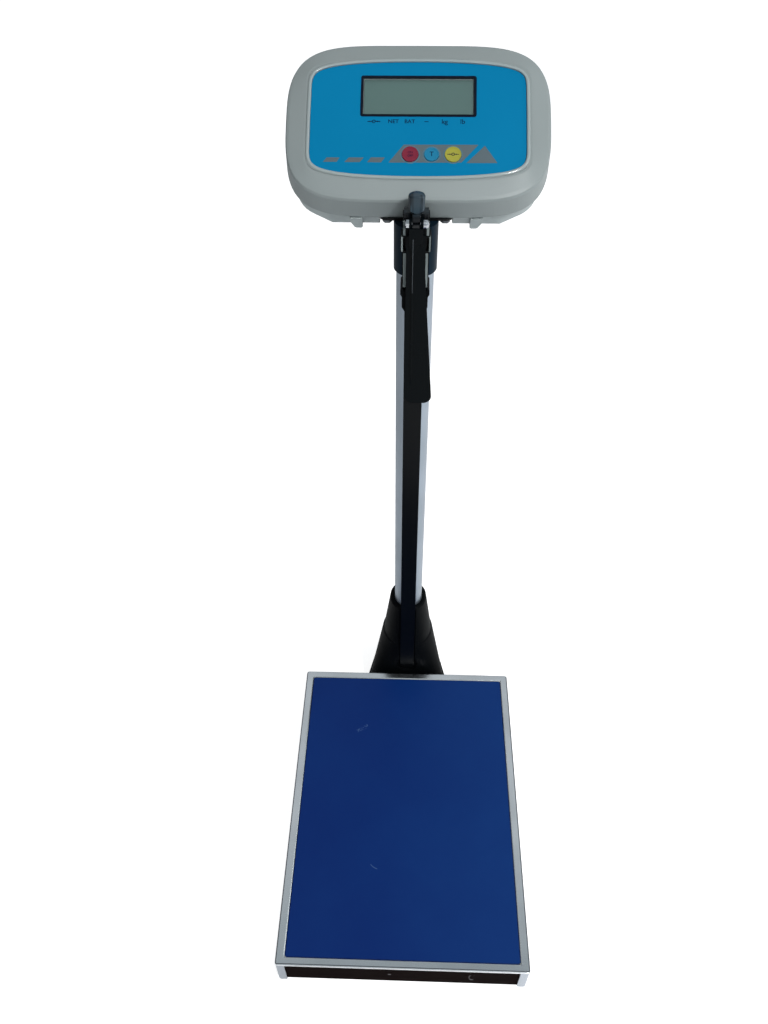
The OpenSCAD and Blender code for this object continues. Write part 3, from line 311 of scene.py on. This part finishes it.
# %% Metals
def brushed(name, colour, roughness, stretch, metallic=1.0, depth=0.004, radius=0.5):
    """Metal with soft smudges and scratches along the axis where stretch is smallest."""
    made = Finish(name, colour, roughness, metallic)
    scratch = made.noise(30, 4, stretch, 0.65)
    smudge = made.noise(14, 3)
    made.satin = made.tint(smudge.step(0.35, 0.75), 0.86)
    made.set(Base_Color=made.satin, Roughness=roughness - 0.06 + scratch * 0.1 + smudge * 0.06,
             Normal=made.bump(scratch, depth, radius))
    return made


pan_steel = brushed("pan_steel", srgb(204, 209, 212), 0.2, (40, 1, 40), radius=1.6)
column_aluminium = brushed("column_aluminium", srgb(165, 176, 187), 0.34, (60, 60, 0.6), 0.85, 0.003, 0.3)
cell_aluminium = brushed("cell_aluminium", srgb(214, 215, 216), 0.3, (1, 30, 30))
zinc_steel = brushed("zinc_steel", srgb(190, 192, 194), 0.32, (8, 8, 8), 1.0, 0.01, 0.25)
dark_bolts = brushed("dark_bolts", srgb(96, 100, 104), 0.3, (8, 8, 8), 0.8, 0.01, 0.3)
bright_screws = brushed("bright_screws", srgb(196, 200, 204), 0.14, (4, 4, 4), 1.0, 0.002, 0.3)
print("metals:", pan_steel.material.name, column_aluminium.material.name)

# %% [markdown]
# Where the sheet of the pan is folded down, the bend would mirror the dark part of the room;
# that reflection is painted in as a thin dark line, a painted shade. The lip below it, at the
# front, gets a painted highlight, and the returns beside the beam are painted duller. These
# painted reflections are masks, made from the distance to the faces of the pan's own box, so
# they stay on the edge if the pan changes its size.

# %% Painted reflections on the folded edge of the pan
rim_low, rim_high = (corner * 1000 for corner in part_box("platform_pan"))
from_front, from_left = pan_steel.along("Y") - rim_low.y, pan_steel.along("X") - rim_low.x
from_right, from_top = rim_high.x - pan_steel.along("X"), rim_high.z - pan_steel.along("Z")
face = from_front < 0.8
# painted shade: the dark reflection of the bend, along the front, the left and the right
painted_bend_shade = ((1 - face) * (from_front < 1.9) + (from_left < 1.3) + (from_right < 1.4)) * (from_top < 1.6)
painted_bend_shade = painted_bend_shade + face * (from_right < 0.9)
lip_height = 3.2
# painted highlight on the front lip, and painted duller returns beside the beam
painted_lip_and_return_light = pan_steel.mix(from_top < lip_height, (*srgb(178, 186, 196), 1), (*srgb(246, 249, 252), 1))
sheet_with_painted_lip = pan_steel.mix(face, pan_steel.satin, painted_lip_and_return_light)
pan_steel.set(Base_Color=pan_steel.mix(painted_bend_shade, sheet_with_painted_lip, (*srgb(120, 122, 126), 1)))
print("fold: along the front, the left and the right of", pan_steel.material.name)


# %% [markdown]
# ## Lacquer and powder coat
#
# The base frame is welded steel under a brown-black powder coat, which has the fine
# pebbled skin of paint that was melted on. The bracket is lacquered smoother. Dust is how
# much of a coarse noise turns the paint grey.

# %% Painted steel
def coated(name, colour, roughness, grain, depth, radius=0.6, dust=0.0, shine=0.25):
    """Paint with pebbles of a noise's scale, grain, and of a depth in millimetres."""
    made = Finish(name, colour, roughness, Specular_IOR_Level=shine)
    pebble = made.noise(grain, 2)
    film = made.noise(9, 4)
    dust_and_sheen = made.mix(film.step(0.5, 0.8) * dust, made.colour, (*srgb(96, 92, 88), 1))
    made.set(Base_Color=dust_and_sheen, Roughness=roughness + film * 0.12 - 0.06,
             Normal=made.bump(pebble, depth, radius))
    return made


frame_paint = coated("frame_paint", srgb(21, 13, 12), 0.85, 900, 0.05, 0.8, 0.02, shine=0.02)
carrier_paint = coated("carrier_paint", srgb(58, 60, 66), 0.45, 900, 0.05)
bracket_paint = coated("bracket_paint", srgb(12, 14, 16), 0.34, 600, 0.02, shine=0.15)
print("paints:", frame_paint.material.name, bracket_paint.material.name)

# %% [markdown]
# On the front of the frame, which shoes rub dull, two glints are painted in the grey of bare
# metal: painted highlights. One is a short dash: near in X and near in Z. The other is a hook,
# a band along part of an ellipse: in coordinates that are divided by the ellipse's halves it
# is a circle, and the band is where the distance to the middle is close to 1. Only the front
# keeps these glints, and all the rest of the frame has a clear coat.

# %% Painted glints on the front beam
across, upright = frame_paint.along("X"), frame_paint.along("Z")
dash_x, dash_z = -13.7, -26.4
hook_x, hook_z, hook_half_width, hook_half_height = 77, -27, 3.4, 8.5
dash = (1 - abs(across - dash_x).step(1.0, 2.2)) * (1 - abs(upright - dash_z).step(0.8, 2.4))
round_x = (across - hook_x) * (1 / hook_half_width)
round_z = (upright - hook_z) * (1 / hook_half_height)
hook = 1 - abs((round_x * round_x + round_z * round_z) ** 0.5 - 1).step(0.1, 0.3)
hook = hook * (across < hook_x + 2) * (upright < hook_z + 6)
front_skin = frame_paint.along("Y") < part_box("base_frame")[0].y * 1000 + 0.5
# painted highlight: two glints in bare-metal grey, the hook broken up by a fine noise
painted_glint_mask = (dash + hook * frame_paint.noise(400, 2).step(0.3, 0.6)) * front_skin * 0.5
frame_paint.set(Base_Color=frame_paint.mix(painted_glint_mask, frame_paint.colour, (*srgb(150, 148, 150), 1)),
                Coat_Weight=(1 - front_skin) * 0.5, Coat_Roughness=0.4)
print("painted_glints at X", dash_x, "and", hook_x, "mm")


# %% [markdown]
# ## Mat
#
# The standing surface is a sheet of deep blue rubber with a faint orange-peel skin.
# Soles leave a haze: patches that are duller and a little lighter, from a coarse noise, and
# three small rubs. A rub is a band round a curved line: near the line and between its two
# ends the mask is 1. Multiplied with a fine noise it breaks up into crumbs. The right side
# of the mat, next to the bright wall, is painted lighter as well: painted light.

# %% Blue rubber
mat_blue = Finish("mat_blue", srgb(7, 45, 113), 0.42, Specular_IOR_Level=0.14)
haze = mat_blue.noise(7, 5, rough=0.6)
skin = mat_blue.noise(520, 2)


def stroke(u, v, angle, length, width, bend=0.0):
    """1 on a short curved rub on the mat, given in millimetres."""
    c, d = math.cos(math.radians(angle)), math.sin(math.radians(angle))
    x, y = mat_blue.along("X") - u, mat_blue.along("Y") - v
    run = x * c + y * d
    off = y * c - x * d - run * run * bend
    return (1 - abs(off).step(width * 0.2, width * 0.5)) * (1 - abs(run).step(length * 0.35, length * 0.5))


crumbs = mat_blue.noise(420, 3).step(0.5, 0.62)
rubs = stroke(-56, 102, 33, 20, 7) * crumbs + stroke(-61.5, 98.5, 80, 6, 2.5) * 0.4
rubs = rubs + stroke(-35, -79.5, -33, 11, 1.3, 0.03)
# the haze is real wear; the rise towards the right is painted light from the bright wall
haze_and_painted_light = haze.step(0.3, 0.8) * 0.4 + mat_blue.along("X").step(-80, 160) * 0.7
skin_tone_with_painted_light = mat_blue.mix(haze_and_painted_light, (*srgb(5, 42, 109), 1), (*srgb(13, 56, 122), 1))
mat_blue.set(Base_Color=mat_blue.mix(rubs * 0.9, skin_tone_with_painted_light, (*srgb(66, 95, 145), 1)),
             Roughness=0.36 + haze * 0.12 + rubs * 0.1, Normal=mat_blue.bump(skin, 0.02, 0.5))
print("mat:", mat_blue.material.name)


# %% [markdown]
# ## Black plastics and rubber
#
# Boot, sleeve and lower guide come out of a mould with an etched, fine matt grain. Rods
# are drawn and anodised black, with lines along their length. The arm is glossy.
# One function makes all of them: the grain's size, its direction and the gloss differ.

# %% Moulded plastics
def moulded(name, colour, roughness, grain=700, depth=0.03, radius=0.5, stretch=(1, 1, 1),
            vary=1.25, shine=0.5):
    """Plastic with a fine tooth; clouds of a coarse noise are lighter or darker by vary."""
    made = Finish(name, colour, roughness, Specular_IOR_Level=shine)
    tooth = made.noise(grain, 2, stretch)
    cloud = made.noise(11, 4)
    made.set(Base_Color=made.tint(cloud.step(0.35, 0.75), vary),
             Roughness=roughness - 0.05 + cloud * 0.1 + tooth * 0.04,
             Normal=made.bump(tooth, depth, radius))
    return made


boot_plastic = moulded("boot_plastic", srgb(5, 7, 9), 0.5, 800, 0.04, 1.0, shine=0.05)
foot_rubber = moulded("foot_rubber", srgb(26, 26, 28), 0.7, 500, 0.05, 0.6)
rod_black = moulded("rod_black", srgb(6, 8, 10), 0.3, 90, 0.006, 0.5, (14, 14, 0.2), shine=0.12)
arm_black = moulded("arm_black", srgb(3, 8, 11), 0.22, 400, 0.006, 0.6, vary=1.15, shine=0.07)
grip_plastic = moulded("grip_plastic", srgb(50, 66, 76), 0.16, 300, 0.006, 1.2, vary=0.8, shine=0.25)
sleeve_plastic = moulded("sleeve_plastic", srgb(14, 30, 42), 0.3, 600, 0.012, 0.8, shine=0.04)
guide_plastic = moulded("guide_plastic", srgb(7, 10, 12), 0.4, 400, 0.01, 0.5, shine=0.1)
slider_plastic = moulded("slider_plastic", srgb(216, 216, 208), 0.4)
switch_black = moulded("switch_black", srgb(26, 27, 29), 0.45)
battery_case = moulded("battery_case", srgb(52, 58, 64), 0.5)
cable_sheath = moulded("cable_sheath", srgb(30, 31, 33), 0.5)
plug_cream = moulded("plug_cream", srgb(226, 222, 208), 0.4)
case_grey = moulded("case_grey", srgb(146, 155, 155), 0.42, 1100, 0.035, 0.9, vary=0.96, shine=0.4)
# the rear shell is the same plastic as the front one, painted lighter for the floor's bounce light: painted
# light
case_rear_grey = moulded("case_rear_grey", srgb(180, 190, 190), 0.42, 1100, 0.035, 0.9, vary=0.95, shine=0.4)
print("plastics:", boot_plastic.material.name, case_grey.material.name)

# %% [markdown]
# The upper guide is black too. Its glossy front lips would mirror the pale room, and that
# reflection is painted on as a mask: two strips along Z, which step outwards where the guide
# has its raised band, with a gap at either end of the band.

# %% Painted reflections on the upper guide
guide_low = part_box("upper_guide")[0] * 1000
band_low, band_high = guide_low.z + 33.5, guide_low.z + 48.5
gap, lip_depth = 0.7, 3.0
side_x, up_z = abs(guide_plastic.along("X")), guide_plastic.along("Z")
in_band, above = (up_z > band_low) * (up_z < band_high), up_z > band_high
# painted reflection: the pale strips on the front lips
painted_edge_light = side_x > in_band * 3.2 + 8 + above
painted_edge_light = painted_edge_light * (side_x < in_band * 1.9 + 10.7 + above * 0.3)
painted_edge_light = painted_edge_light * (abs(up_z - band_low) > gap) * (abs(up_z - band_high) > gap)
painted_edge_light = painted_edge_light * (guide_plastic.along("Y") < guide_low.y + lip_depth)
# the painted reflection is streaky, from a noise stretched along Z
dust_and_sheen = guide_plastic.noise(90, 3, (1, 1, 0.2)).step(0.4, 0.7)
painted_reflection_tone = guide_plastic.mix(dust_and_sheen, (*srgb(140, 150, 150), 1), (*srgb(112, 122, 122), 1))
guide_plastic.set(Base_Color=guide_plastic.mix(painted_edge_light, guide_plastic.colour, painted_reflection_tone))
print("liner: band from", round(band_low, 1), "to", round(band_high, 1), "mm")

# %% [markdown]
# The head of the rod is black where it goes into the guide, and blue-grey and smoother at
# the grip. Dark streaks run along its sides: a noise that is stretched along Z, kept away
# from the middle.

# %% Grip
grip_length, fade_length = 13, 6
collar_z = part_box("rod_head")[1].z * 1000 - grip_length
grip = grip_plastic.along("Z").step(collar_z - fade_length, collar_z)
streak = grip_plastic.noise(170, 2, (1, 1, 0.12)).step(0.46, 0.56)
streak = streak * abs(grip_plastic.along("X")).step(1.5, 4)
grip_skin = grip_plastic.mix(streak * 0.75, grip_plastic.colour, (*srgb(14, 22, 28), 1))
grip_plastic.set(Base_Color=grip_plastic.mix(grip, (*srgb(8, 12, 16), 1), grip_skin),
                 Roughness=0.34 - grip * 0.16)
print("grip starts at", round(collar_z, 1), "mm")

# %% [markdown]
# The rib of the arm gets a painted highlight along its ridge, strongest near the pivot. The
# ridge is one thin line in X, only on the front, and it fades downwards.

# %% Painted highlight on the rib of the arm
arm_low, arm_high = (corner * 1000 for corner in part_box("measuring_arm"))
rib_x, rib_depth, rib_end = -2.4, 3.2, 646
crest_highlight = 1 - abs(arm_black.along("X") - rib_x).step(0.1, 0.45)
crest_highlight = crest_highlight * (arm_black.along("Y") < arm_low.y + rib_depth)
highlight_fade = arm_black.along("Z").step(arm_low.z + 20, arm_high.z) * (arm_black.along("Z") < rib_end)
# painted highlight: the ridge's line is mixed towards pale grey
arm_black.set(Base_Color=arm_black.mix(crest_highlight * highlight_fade * 0.45, arm_black.colour, (*srgb(120, 126, 132), 1)))
print("rib:", round(arm_high.z - arm_low.z, 1), "mm of arm")


# %% [markdown]
# ## Printed panel, display and keys
#
# The panel is a polyester film, printed blue from behind, so its colour is even and its
# surface is gently glossy. The liquid crystal behind the window is a grey-green mirror
# with a soft shadow along its upper edge. Keys are domed caps with a coloured skin.

# %% Panel finishes
panel_blue = moulded("panel_blue", srgb(0, 124, 172), 0.36, 900, 0.012, 0.3, vary=1.03, shine=0.12)
display_black = moulded("display_black", srgb(4, 12, 24), 0.35, 600, 0.005, 0.2, shine=0.15)
key_red = moulded("key_red", srgb(128, 40, 60), 0.34, 500, 0.01, 0.4, vary=0.95, shine=0.25)
key_blue = moulded("key_blue", srgb(32, 126, 164), 0.34, 500, 0.01, 0.4, vary=0.97, shine=0.25)
key_yellow = moulded("key_yellow", srgb(166, 163, 66), 0.34, 500, 0.01, 0.4, vary=0.97, shine=0.25)
board_green = moulded("board_green", srgb(30, 96, 56), 0.35, 200, 0.02)

lcd_grey = Finish("lcd_grey", srgb(80, 112, 107), 0.4, Specular_IOR_Level=0.15)
shadow_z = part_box("display_module")[1].z * 1000 - 4.0
shade = (lcd_grey.along("Z") - shadow_z).step(0.0, 3.5)
lcd_grey.set(Base_Color=lcd_grey.tint(shade + lcd_grey.noise(40, 2) * 0.06, 0.62),
             Normal=lcd_grey.rounded(0.2))

display_clear = Finish("display_clear", (0.35, 0.42, 0.42), 0.08, Alpha=0.08, IOR=1.45)
display_clear.material.surface_render_method = "DITHERED"
print("panel finishes done")


# %% [markdown]
# ## Dressing the solids
#
# Each solid keeps its mesh and takes one finish by its name. Anything that isn't in the
# table is a zinc plated screw, bolt or spacer.

# %% Dress the solids
finishes = {
    "base_frame": frame_paint, "load_cell": cell_aluminium, "upper_carrier": carrier_paint,
    "pan_pads": foot_rubber, "platform_pan": pan_steel, "platform_mat": mat_blue,
    "column_boot": boot_plastic, "column_tube": column_aluminium, "signal_cable": cable_sheath,
    "top_sleeve": sleeve_plastic, "head_bracket": bracket_paint, "upper_guide": guide_plastic,
    "lower_guide": boot_plastic, "outer_rod": rod_black, "rod_foot": boot_plastic,
    "inner_rod": rod_black, "inner_rod_plug": slider_plastic, "rod_head": grip_plastic,
    "measuring_arm": arm_black, "pivot_screw": bright_screws, "pivot_nut": bright_screws,
    "front_shell": case_grey, "rear_shell": case_rear_grey, "keypad_panel": panel_blue,
    "display_frame": display_black, "display_lens": display_clear, "display_module": lcd_grey,
    "key_power": key_red, "key_tare": key_blue, "key_zero": key_yellow,
    "key_switches": switch_black, "circuit_board": board_green, "battery_pack": battery_case,
    "power_inlet": switch_black, "cable_plug": plug_cream, "flange_bolts": dark_bolts,
}
for corner in ("front_left", "front_right", "rear_left", "rear_right"):
    finishes["foot_" + corner] = foot_rubber
for name, solid in nodes.items():
    solid.data.materials.clear()
    solid.data.materials.append(finishes.get(name, zinc_steel).material)
print("dressed", len(nodes), "solids")


# %% [markdown]
# ## Print on the panel
#
# Legends and stripes are silk-screen ink: a film a few hundredths of a millimetre thick.
# They could be painted by the shader, but ink has sharp edges at any zoom when it is a
# thin mesh. So each mark is a flat shape in the slope of the panel, lifted by a hair.
# The panel's own box gives the place of that slope: its lower front edge and its tilt.

# %% The slope of the panel
tilt, half_panel = math.radians(35), 54 * MM
panel_low, panel_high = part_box("keypad_panel")
face_y = panel_low.y + half_panel * math.cos(tilt)
face_z = panel_high.z - half_panel * math.sin(tilt)
slope = Matrix.Translation((0, face_y, face_z)) @ Matrix.Rotation(tilt, 4, "X")
print("panel's middle at", round(face_y * 1000, 2), round(face_z * 1000, 2), "mm")

# %% [markdown]
# A made piece has to move with the body that it is printed on. The lifts say how far a mark
# stands off its surface, in millimetres: ink on the panel, a ring, the line, a sign on a cap,
# and the height scale. A higher one covers a lower one.

# %% Inks and flat shapes
ink_lift, ring_lift, line_lift, cap_lift, scale_lift = 0.05, 0.1, 0.06, 0.7, 0.03
ink_black = moulded("ink_black", srgb(2, 20, 52), 0.5, 900, 0.01, 0.1, shine=0.1)
ink_grey = moulded("ink_grey", srgb(92, 106, 112), 0.4, 900, 0.01, 0.2, vary=1.04, shine=0.25)
ink_ring = moulded("ink_ring", srgb(88, 118, 132), 0.36, 900, 0.01, 0.2, vary=1.03, shine=0.25)


def piece(name, mesh, finish, body):
    """Turns a finished bmesh into an object that moves with a body."""
    made = bpy.data.objects.new(name, bpy.data.meshes.new(name))
    mesh.to_mesh(made.data)
    mesh.free()
    made.data.materials.append(finish.material)
    scene.collection.objects.link(made)
    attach(made, body)


def printed(name, shapes, finish, lift, body="base", plane=slope):
    """Flat shapes, lists of (u, v) in millimetres, laid on a plane at a height."""
    mesh = bmesh.new()
    for shape in shapes:
        mesh.faces.new([mesh.verts.new(plane @ Vector((u * MM, v * MM, lift * MM))) for u, v in shape])
    piece(name, mesh, finish, body)


def ring(u, v, inner, outer, count=48):
    """A flat ring as a fan of small quads."""
    turn = [math.tau * i / count for i in range(count + 1)]
    at = [(math.cos(t), math.sin(t)) for t in turn]
    return [[(u + outer * a[0], v + outer * a[1]), (u + outer * b[0], v + outer * b[1]),
             (u + inner * b[0], v + inner * b[1]), (u + inner * a[0], v + inner * a[1])]
            for a, b in zip(at, at[1:])]


def bar(u0, v0, u1, v1, width):
    """A straight stroke between two points."""
    along = Vector((u1 - u0, v1 - v0)).normalized() * width / 2
    du, dv = -along.y, along.x
    return [(u0 + du, v0 + dv), (u0 - du, v0 - dv), (u1 - du, v1 - dv), (u1 + du, v1 + dv)]


def zero_mark(u, v, size):
    """The sign for zero on scales: two arrows that meet in a ring."""
    reach, gap = size / 2, size * 0.13
    strokes = [bar(u - reach, v, u - gap, v, size * 0.06), bar(u + gap, v, u + reach, v, size * 0.06)]
    strokes += ring(u, v, size * 0.085, size * 0.15, 20)
    for side in (-1, 1):
        tip, half = u + side * size * 0.17, size * 0.075
        tail = tip + side * size * 0.14
        strokes.append([(tip, v), (tail, v + half), (tail, v - half)][::side])  # faces upwards
    return strokes


print("inks:", ink_black.material.name, ink_grey.material.name, ink_ring.material.name)

# %% [markdown]
# The case has a raised lip round the panel, moulded with a round, shiny crown that
# catches the lamp on the side that looks at it. The solid has a flat lip, so the crown
# is swept over it: the outline of the panel is the path, and every corner of a small
# profile follows it at its own distance and height.

# %% Crown of the lip
on_slope = slope.inverted()
panel_points = [on_slope @ v.co / MM for v in nodes["keypad_panel"].data.vertices]
flat_top = [p.xy for p in panel_points if p.z > -0.05]
outline = [flat_top[i] for i in convex_hull_2d(flat_top)]
profile = [(0.17, 0.6), (0.22, 1.0), (0.5, 1.38), (0.95, 1.62), (1.5, 1.7),
           (2.05, 1.62), (2.6, 1.38), (3.0, 1.0), (3.0, 0.6)]
crown = bmesh.new()
hoops = []
for before, here, after in zip(outline[-1:] + outline, outline, outline[1:] + outline[:1]):
    run = (after - before).normalized()
    out = Vector((run.y, -run.x))
    out = out if out.dot(here) > 0 else -out
    hoops.append([crown.verts.new(slope @ (Vector((*(here + out * d), z)) * MM)) for d, z in profile])
for a, b in zip(hoops, hoops[1:] + hoops[:1]):
    for i in range(len(profile)):
        j = (i + 1) % len(profile)
        crown.faces.new([a[i], b[i], b[j], a[j]]).smooth = True
bmesh.ops.recalc_face_normals(crown, faces=crown.faces[:])
# the crown's grey is painted lighter than the case's, a painted highlight on top of its own gloss
lip_grey_painted_lighter = moulded("lip_grey_painted_lighter", srgb(160, 171, 171), 0.16, 1100, 0.01, 0.15, vary=0.97, shine=0.6)
piece("panel_lip", crown, lip_grey_painted_lighter, "base")
print("lip:", len(outline), "points along the outline")

# %% [markdown]
# The keys stand in a slanted grey band: three short dashes, a long field and a triangle.
# A ring of lighter blue separates each key from the band. The field is filled by
# triangles round three round holes, and each ring covers the edge of a hole, one hair
# higher.

# %% Stripes and rings
key_row, key_middle, key_pitch = -33.5, 12.0, 18.3
keys_at = [(key_middle - key_pitch, key_row, 7.0), (key_middle, key_row, 6.3),
           (key_middle + key_pitch, key_row, 7.0)]
dashes = [[(-80.8, -40.9), (-69.0, -40.9), (-66.4, -36.7), (-77.6, -36.7)],
          [(-62.4, -41.0), (-49.2, -41.0), (-45.8, -36.6), (-58.6, -36.6)],
          [(-43.1, -41.1), (-31.0, -41.1), (-27.9, -36.4), (-39.6, -36.4)]]


def circle(u, v, radius, count=40):
    turns = (math.tau * i / count for i in range(count))
    return [(u + radius * math.cos(t), v + radius * math.sin(t)) for t in turns]


def with_holes(border, holes):
    """Triangles that fill a border and leave its holes open."""
    flat = bmesh.new()
    for loop in (border, *holes):
        points = [flat.verts.new((u, v, 0)) for u, v in loop]
        for a, b in zip(points, points[1:] + points[:1]):
            flat.edges.new((a, b))
    bmesh.ops.triangle_fill(flat, edges=flat.edges[:], use_beauty=True, use_dissolve=False)
    shapes = [[(p.co.x, p.co.y) for p in f.verts] for f in flat.faces]
    flat.free()
    return shapes


field = [(-24.8, -41.2), (37.3, -40.9), (51.9, -24.1), (-11.9, -24.4)]
slit = 0.3  # between a key and the ring round it
bands = dashes + with_holes(field, [circle(u, v, r + slit) for u, v, r in keys_at])
bands.append([(41.6, -41.2), (68.0, -41.0), (57.3, -25.0)])
rings = [quad for u, v, r in keys_at for quad in ring(u, v, r + slit, r + 1.5)]
printed("panel_bands", bands, ink_grey, ink_lift)
printed("key_rings", rings, ink_ring, ring_lift)
print("bands:", len(bands), "shapes")

# %% [markdown]
# A dark navy line with round corners is printed round the window. It hides the gap
# between panel and window, as such a line does on the real panel.

# %% Line round the window
def rounded_loop(u0, v0, u1, v1, radius, steps=6):
    """Corners of a rectangle with round corners, counterclockwise from the lower right."""
    loop = []
    for u, v, start in ((u1 - radius, v0 + radius, -90), (u1 - radius, v1 - radius, 0),
                        (u0 + radius, v1 - radius, 90), (u0 + radius, v0 + radius, 180)):
        for i in range(steps + 1):
            turn = math.radians(start + 90 * i / steps)
            loop.append((u + radius * math.cos(turn), v + radius * math.sin(turn)))
    return loop


seen = [on_slope @ v.co / MM for v in nodes["display_frame"].data.vertices]
line_width = 0.65
left, right_end = min(p.x for p in seen), max(p.x for p in seen)
bottom, top = min(p.y for p in seen), max(p.y for p in seen)
outer = rounded_loop(left - line_width, bottom - line_width, right_end + line_width, top + line_width, 2.2)
inner = rounded_loop(left, bottom, right_end, top, 0.9)
around = zip(outer, outer[1:] + outer[:1], inner[1:] + inner[:1], inner)
printed("window_line", [list(quad) for quad in around], ink_black, line_lift)
print("window", [round(x, 2) for x in (left, bottom, right_end, top)], "mm on the panel")

# %% [markdown]
# Under the window stand the signs that the display points at: zero, net, battery,
# minus, kilogram and pound. Blender's own plain font, turned into a mesh, prints them.

# %% Letters
def letters(name, words, height, finish, lift, body="base", plane=slope, bold=0.05):
    """Words, each with its centre (u, v) and one capital height, as a single thin mesh."""
    capital = 0.70  # height of a capital in this font, for size 1
    mesh = bmesh.new()
    for text, u, v in words:
        curve = bpy.data.curves.new(name, "FONT")
        curve.body, curve.size = text, height / capital * MM
        curve.align_x, curve.align_y, curve.offset = "CENTER", "CENTER", bold * MM
        word = bpy.data.objects.new(name, curve)
        scene.collection.objects.link(word)
        bpy.context.view_layer.update()
        flat = bpy.data.meshes.new_from_object(word.evaluated_get(bpy.context.evaluated_depsgraph_get()))
        bpy.data.objects.remove(word)
        flat.transform(plane @ Matrix.Translation(Vector((u, v, lift)) * MM))
        mesh.from_mesh(flat)
    piece(name, mesh, finish, body)


legend_v = -2.7
for word, u, size in (("NET", -21.3, 3.5), ("BAT", -7.2, 3.5), ("kg", 22.8, 4.2), ("lb", 38.2, 4.2)):
    letters("legend_" + word.lower(), [(word, u, legend_v)], size, ink_black, ink_lift, bold=0.055)
minus = bar(5.4, legend_v, 9.0, legend_v, 0.6)
printed("legend_marks", zero_mark(-38.1, legend_v, 11) + [minus], ink_black, ink_lift)
letters("tare_sign", [("T", key_middle, key_row)], 4.2, ink_black, cap_lift, "key_tare")
printed("zero_sign", zero_mark(key_middle + key_pitch, key_row, 10), ink_black, cap_lift, "key_zero")
for word, v in (("on", key_row + 1.6), ("off", key_row - 1.6)):
    sign = (word.upper(), key_middle - key_pitch, v)
    letters("power_" + word, [sign], 1.9, ink_black, cap_lift, "key_power")
print("legend printed")


# %% [markdown]
# ## Height scale
#
# The inner rod carries the height scale: a tick for every centimetre, a longer one every
# five, and a number every ten. The reading is taken where the rod leaves the outer one.
# With the rod pushed in, that is 66 cm, the height of the pivot above the mat. One
# centimetre more for every ten millimetres down the rod puts each tick in its place.

# %% Ticks and numbers
rod_face_y = 197.4
rod_front = Matrix.Translation((0, rod_face_y * MM, 0)) @ Matrix.Rotation(math.pi / 2, 4, "X")
print_white = moulded("print_white", srgb(206, 210, 208), 0.45, 900, 0.01, 0.1, shine=0.3)
rod_top, rod_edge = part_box("outer_rod")[1].z * 1000, 7.6
first_reading, tick_half = 656.2, 0.25  # millimetres


def mark_height(reading):
    """Where the tick of a reading in centimetres lies, with the rod pushed in."""
    return rod_top - (10 * reading - first_reading)


ticks = []
for reading in range(66, 123):
    z, tick_end = mark_height(reading), rod_edge - (7.0 if reading % 5 == 0 else 4.0)
    low, high = z - tick_half, z + tick_half
    ticks.append([(tick_end, low), (rod_edge, low), (rod_edge, high), (tick_end, high)])
numbers = [(str(reading), -3.0, mark_height(reading)) for reading in range(70, 121, 10)]
printed("rod_scale", ticks, print_white, scale_lift, "inner_rod", rod_front)
letters("rod_numbers", numbers, 3.4, print_white, scale_lift,
        "inner_rod", rod_front, bold=0.03)
print("height scale:", len(ticks), "ticks, top of the outer rod at", round(rod_top, 1), "mm")


# %% [markdown]
# ## Weld seams
#
# The base frame is cut sheet, welded: the cross member to the side flanges and the foot
# plate to the rear one. A weld bead is a row of drops, each frozen on the edge of the
# last one. So a seam is a line of flattened balls closer together than they are wide.

# %% Beads under the frame
def bead(mesh, start, end, size=(2.2, 2.2, 1.1), pitch=2.0):
    """A row of flattened balls from start to end, all in millimetres."""
    start, end = Vector(start), Vector(end)
    count = max(2, round((end - start).length / pitch) + 1)
    for i in range(count):
        spot = start.lerp(end, i / (count - 1))
        place = Matrix.Translation(spot * MM) @ Matrix.Diagonal((*(x * MM for x in size), 1))
        bmesh.ops.create_icosphere(mesh, subdivisions=2, radius=1.0, matrix=place)


frame_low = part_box("base_frame")[0].z * 1000
under = frame_low + 0.2
flange_x, wall_x = 105.5, 133  # inner edge of a side flange, inner face of a side wall
cross_front, cross_rear, rear_flange = 4, 80, 185.5  # along Y
weld_paint = coated("weld_paint", srgb(52, 46, 44), 0.4, 900, 0.02, 0.1, shine=0.3)
seams = bmesh.new()
for side in (-1, 1):
    bead(seams, (side * flange_x, cross_front + 1, under), (side * flange_x, cross_rear - 1, under))
    for y in (cross_front, cross_rear):
        foot, head = (side * wall_x, y, frame_low + 5), (side * wall_x, y, frame_low + 13)
        bead(seams, foot, head, size=(1.4, 1.4, 1.4), pitch=1.6)
bead(seams, (-52, rear_flange, under), (52, rear_flange, under))
for face in seams.faces:
    face.smooth = True
piece("weld_seams", seams, weld_paint, "base")
print("welds done")
